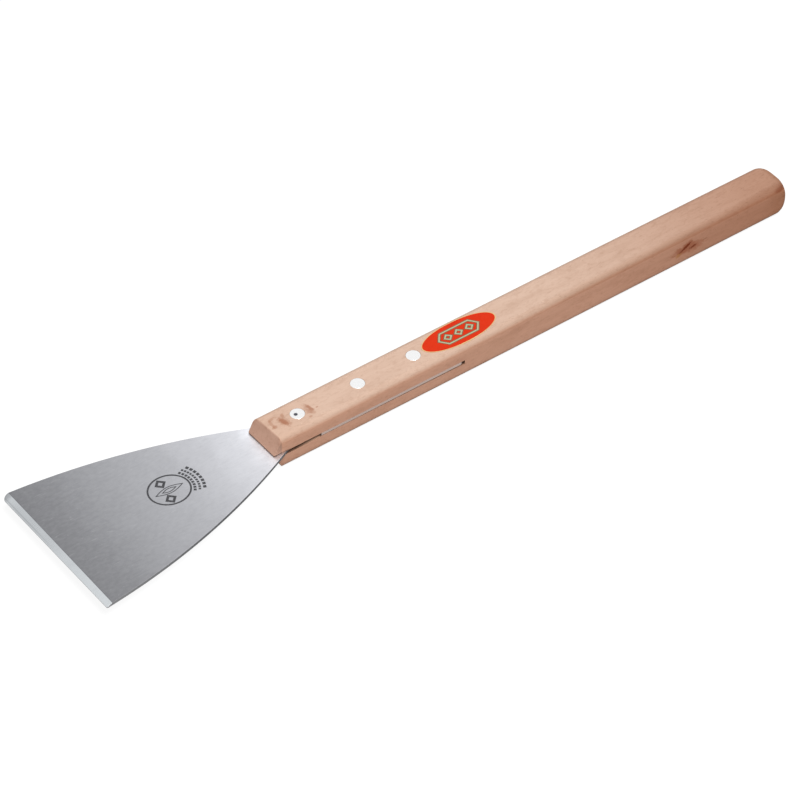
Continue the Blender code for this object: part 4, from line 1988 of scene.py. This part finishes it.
@dataclass
class Studio:
    """A plain white floor, a pale surround and a soft lamp."""

    floor_half: float = 30.0
    ambient: float = 0.33
    floor_low: float = -0.0001
    floor_glow: float = 0.90
    floor_colour: Colour = (0.16, 0.16, 0.16)
    lamps: tuple[Lamp, ...] = (
        Lamp("key_softbox", (-0.25, -1.05, 2.42), (0.0, 0.0, 0.0), 1.3, 62.0),
    )

    def seen(self, tree: bpy.types.NodeTree) -> NodeSocket:
        """A value of 1 for rays from the camera, from gloss and through glass.

        Args:
            tree: The node tree that reads it.

        Returns:
            The value's socket.
        """
        rays = tree.nodes.new("ShaderNodeLightPath")
        total = rays.outputs["Is Camera Ray"]
        for name in ("Is Glossy Ray", "Is Transmission Ray"):
            highest = tree.nodes.new("ShaderNodeMath")
            highest.operation = Sum.HIGHER.value
            tree.links.new(total, highest.inputs[0])
            tree.links.new(rays.outputs[name], highest.inputs[1])
            total = highest.outputs[0]
        return total

    def surround(self) -> None:
        """Light from all round, white where the camera or a reflection sees it."""
        world = bpy.data.worlds.new("surround")
        bpy.context.scene.world = world
        world.use_nodes = True
        tree = world.node_tree
        background = tree.nodes["Background"]
        background.inputs["Color"].default_value = (1, 1, 1, 1)
        reach = tree.nodes.new("ShaderNodeMapRange")
        reach.inputs["To Min"].default_value = self.ambient
        tree.links.new(self.seen(tree), reach.inputs["Value"])
        tree.links.new(reach.outputs[0], background.inputs["Strength"])

    def floor(self) -> Object:
        """A wide floor that looks white and keeps the scraper's shadow.

        It lies a hair below the scraper, so that no two faces share a plane.

        Returns:
            The floor.
        """
        corners = self.floor_half * np.array([(-1, -1, 0), (1, -1, 0), (1, 1, 0), (-1, 1, 0)])
        corners[:, 2] = self.floor_low
        mesh = bpy.data.meshes.new("floor")
        mesh.from_pydata(corners.tolist(), [], [(0, 1, 2, 3)])
        floor = placed("floor", mesh)
        material = bpy.data.materials.new("white_floor")
        material.use_nodes = True
        tree = material.node_tree
        shader = tree.nodes["Principled BSDF"]
        shader.inputs["Base Color"].default_value = (*self.floor_colour, 1)
        shader.inputs["Roughness"].default_value = 1.0
        shader.inputs["Specular IOR Level"].default_value = 0.0
        shader.inputs["Emission Color"].default_value = (1, 1, 1, 1)
        glow = tree.nodes.new("ShaderNodeMath")
        glow.operation = Sum.TIMES.value
        tree.links.new(self.seen(tree), glow.inputs[0])
        glow.inputs[1].default_value = self.floor_glow
        tree.links.new(glow.outputs[0], shader.inputs["Emission Strength"])
        mesh.materials.append(material)
        return floor

    def build(self) -> None:
        """Set up floor, surround and lamps."""
        self.floor()
        self.surround()
        for lamp in self.lamps:
            lamp.build()
        bpy.context.scene.view_settings.view_transform = "Standard"
        log.info("studio: %d lamps", len(self.lamps))


@dataclass
class PhotoCamera:
    """The camera that took the photograph, as fitted to the scraper's outline."""

    place: tuple[float, float, float] = (-1.2264, -1.6219, 1.8977)
    tilt: float = math.radians(46.643)
    pan: float = math.radians(-36.548)
    lens: float = 191.7
    sensor: float = 36.0

    def build(self) -> None:
        """Add the camera and make it the scene's."""
        data = bpy.data.cameras.new("photo_camera")
        data.lens = self.lens
        data.sensor_width = self.sensor
        camera = placed("photo_camera", data)
        camera.location = self.place
        camera.rotation_euler = (self.tilt, 0, self.pan)
        bpy.context.scene.camera = camera


def main() -> None:
    """Build every piece, then the studio and the camera."""
    logging.basicConfig(level=logging.INFO, format="%(name)s %(message)s")
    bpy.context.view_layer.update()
    PhotoCamera().build()

    blade_low, blade_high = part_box("blade")
    handle_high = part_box("handle")[1]
    label_low, label_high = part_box("oval_label")
    blade = Blade(blade_low.x, blade_low.z, blade_high.z, blade_high.x)
    handle = Handle(blade_low.x + blade.length, handle_high.z / 2, handle_high.y)

    rivets = []
    for number in (1, 2, 3):
        low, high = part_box(f"rivet_shank_{number}")
        centre = np.array([(low.x + high.x) / 2, (low.y + high.y) / 2])
        rivets.append(Rivet(number, centre, high.z, number == 1))
    bores = [rivet.bore() for rivet in rivets]

    seat_x = handle.front_x + blade.notch_length
    steels = [BrushedSteel(blade_low.x, blade.strip, blade.strip_skew).material(),
              GroundSteel(blade_low.x).material(), ShearedSteel(blade_low.x, seat_x).material()]
    blade.build(bores, steels)

    first = rivets[0]
    beech = SteamedBeech(handle.front_x, handle_high.x, handle_high.z, -handle.half_width,
                         tuple(map(float, first.centre)))
    woods = [beech.material(), SawnBeech(seat_x).material()]
    handle.build(handle.saw_cut(blade.under_z, blade.top_z, seat_x), bores, woods)

    pit = (first.centre[0] - first.pit_offset, first.centre[1], first.top_z - first.pit_depth / 2)
    metal = RivetMetal(pit, first.pit_radius).material()
    for rivet in rivets:
        rivet.build(metal)

    label = Label((label_low.x + label_high.x) / 2, (label_high.x - label_low.x) / 2,
                  label_high.y, handle_high.z, handle.half_width, handle.edge_radius)
    paper = LabelPaper((label.centre_x, 0.0), (label.half_length, label.half_width)).material()
    label.build(paper, LABEL_SILVER.material(), LABEL_LINE.material())
    Stamp(blade_low.x, blade.top_z).build(STAMP_INK.material())

    Studio().build()


if __name__ == "__main__":
    main()
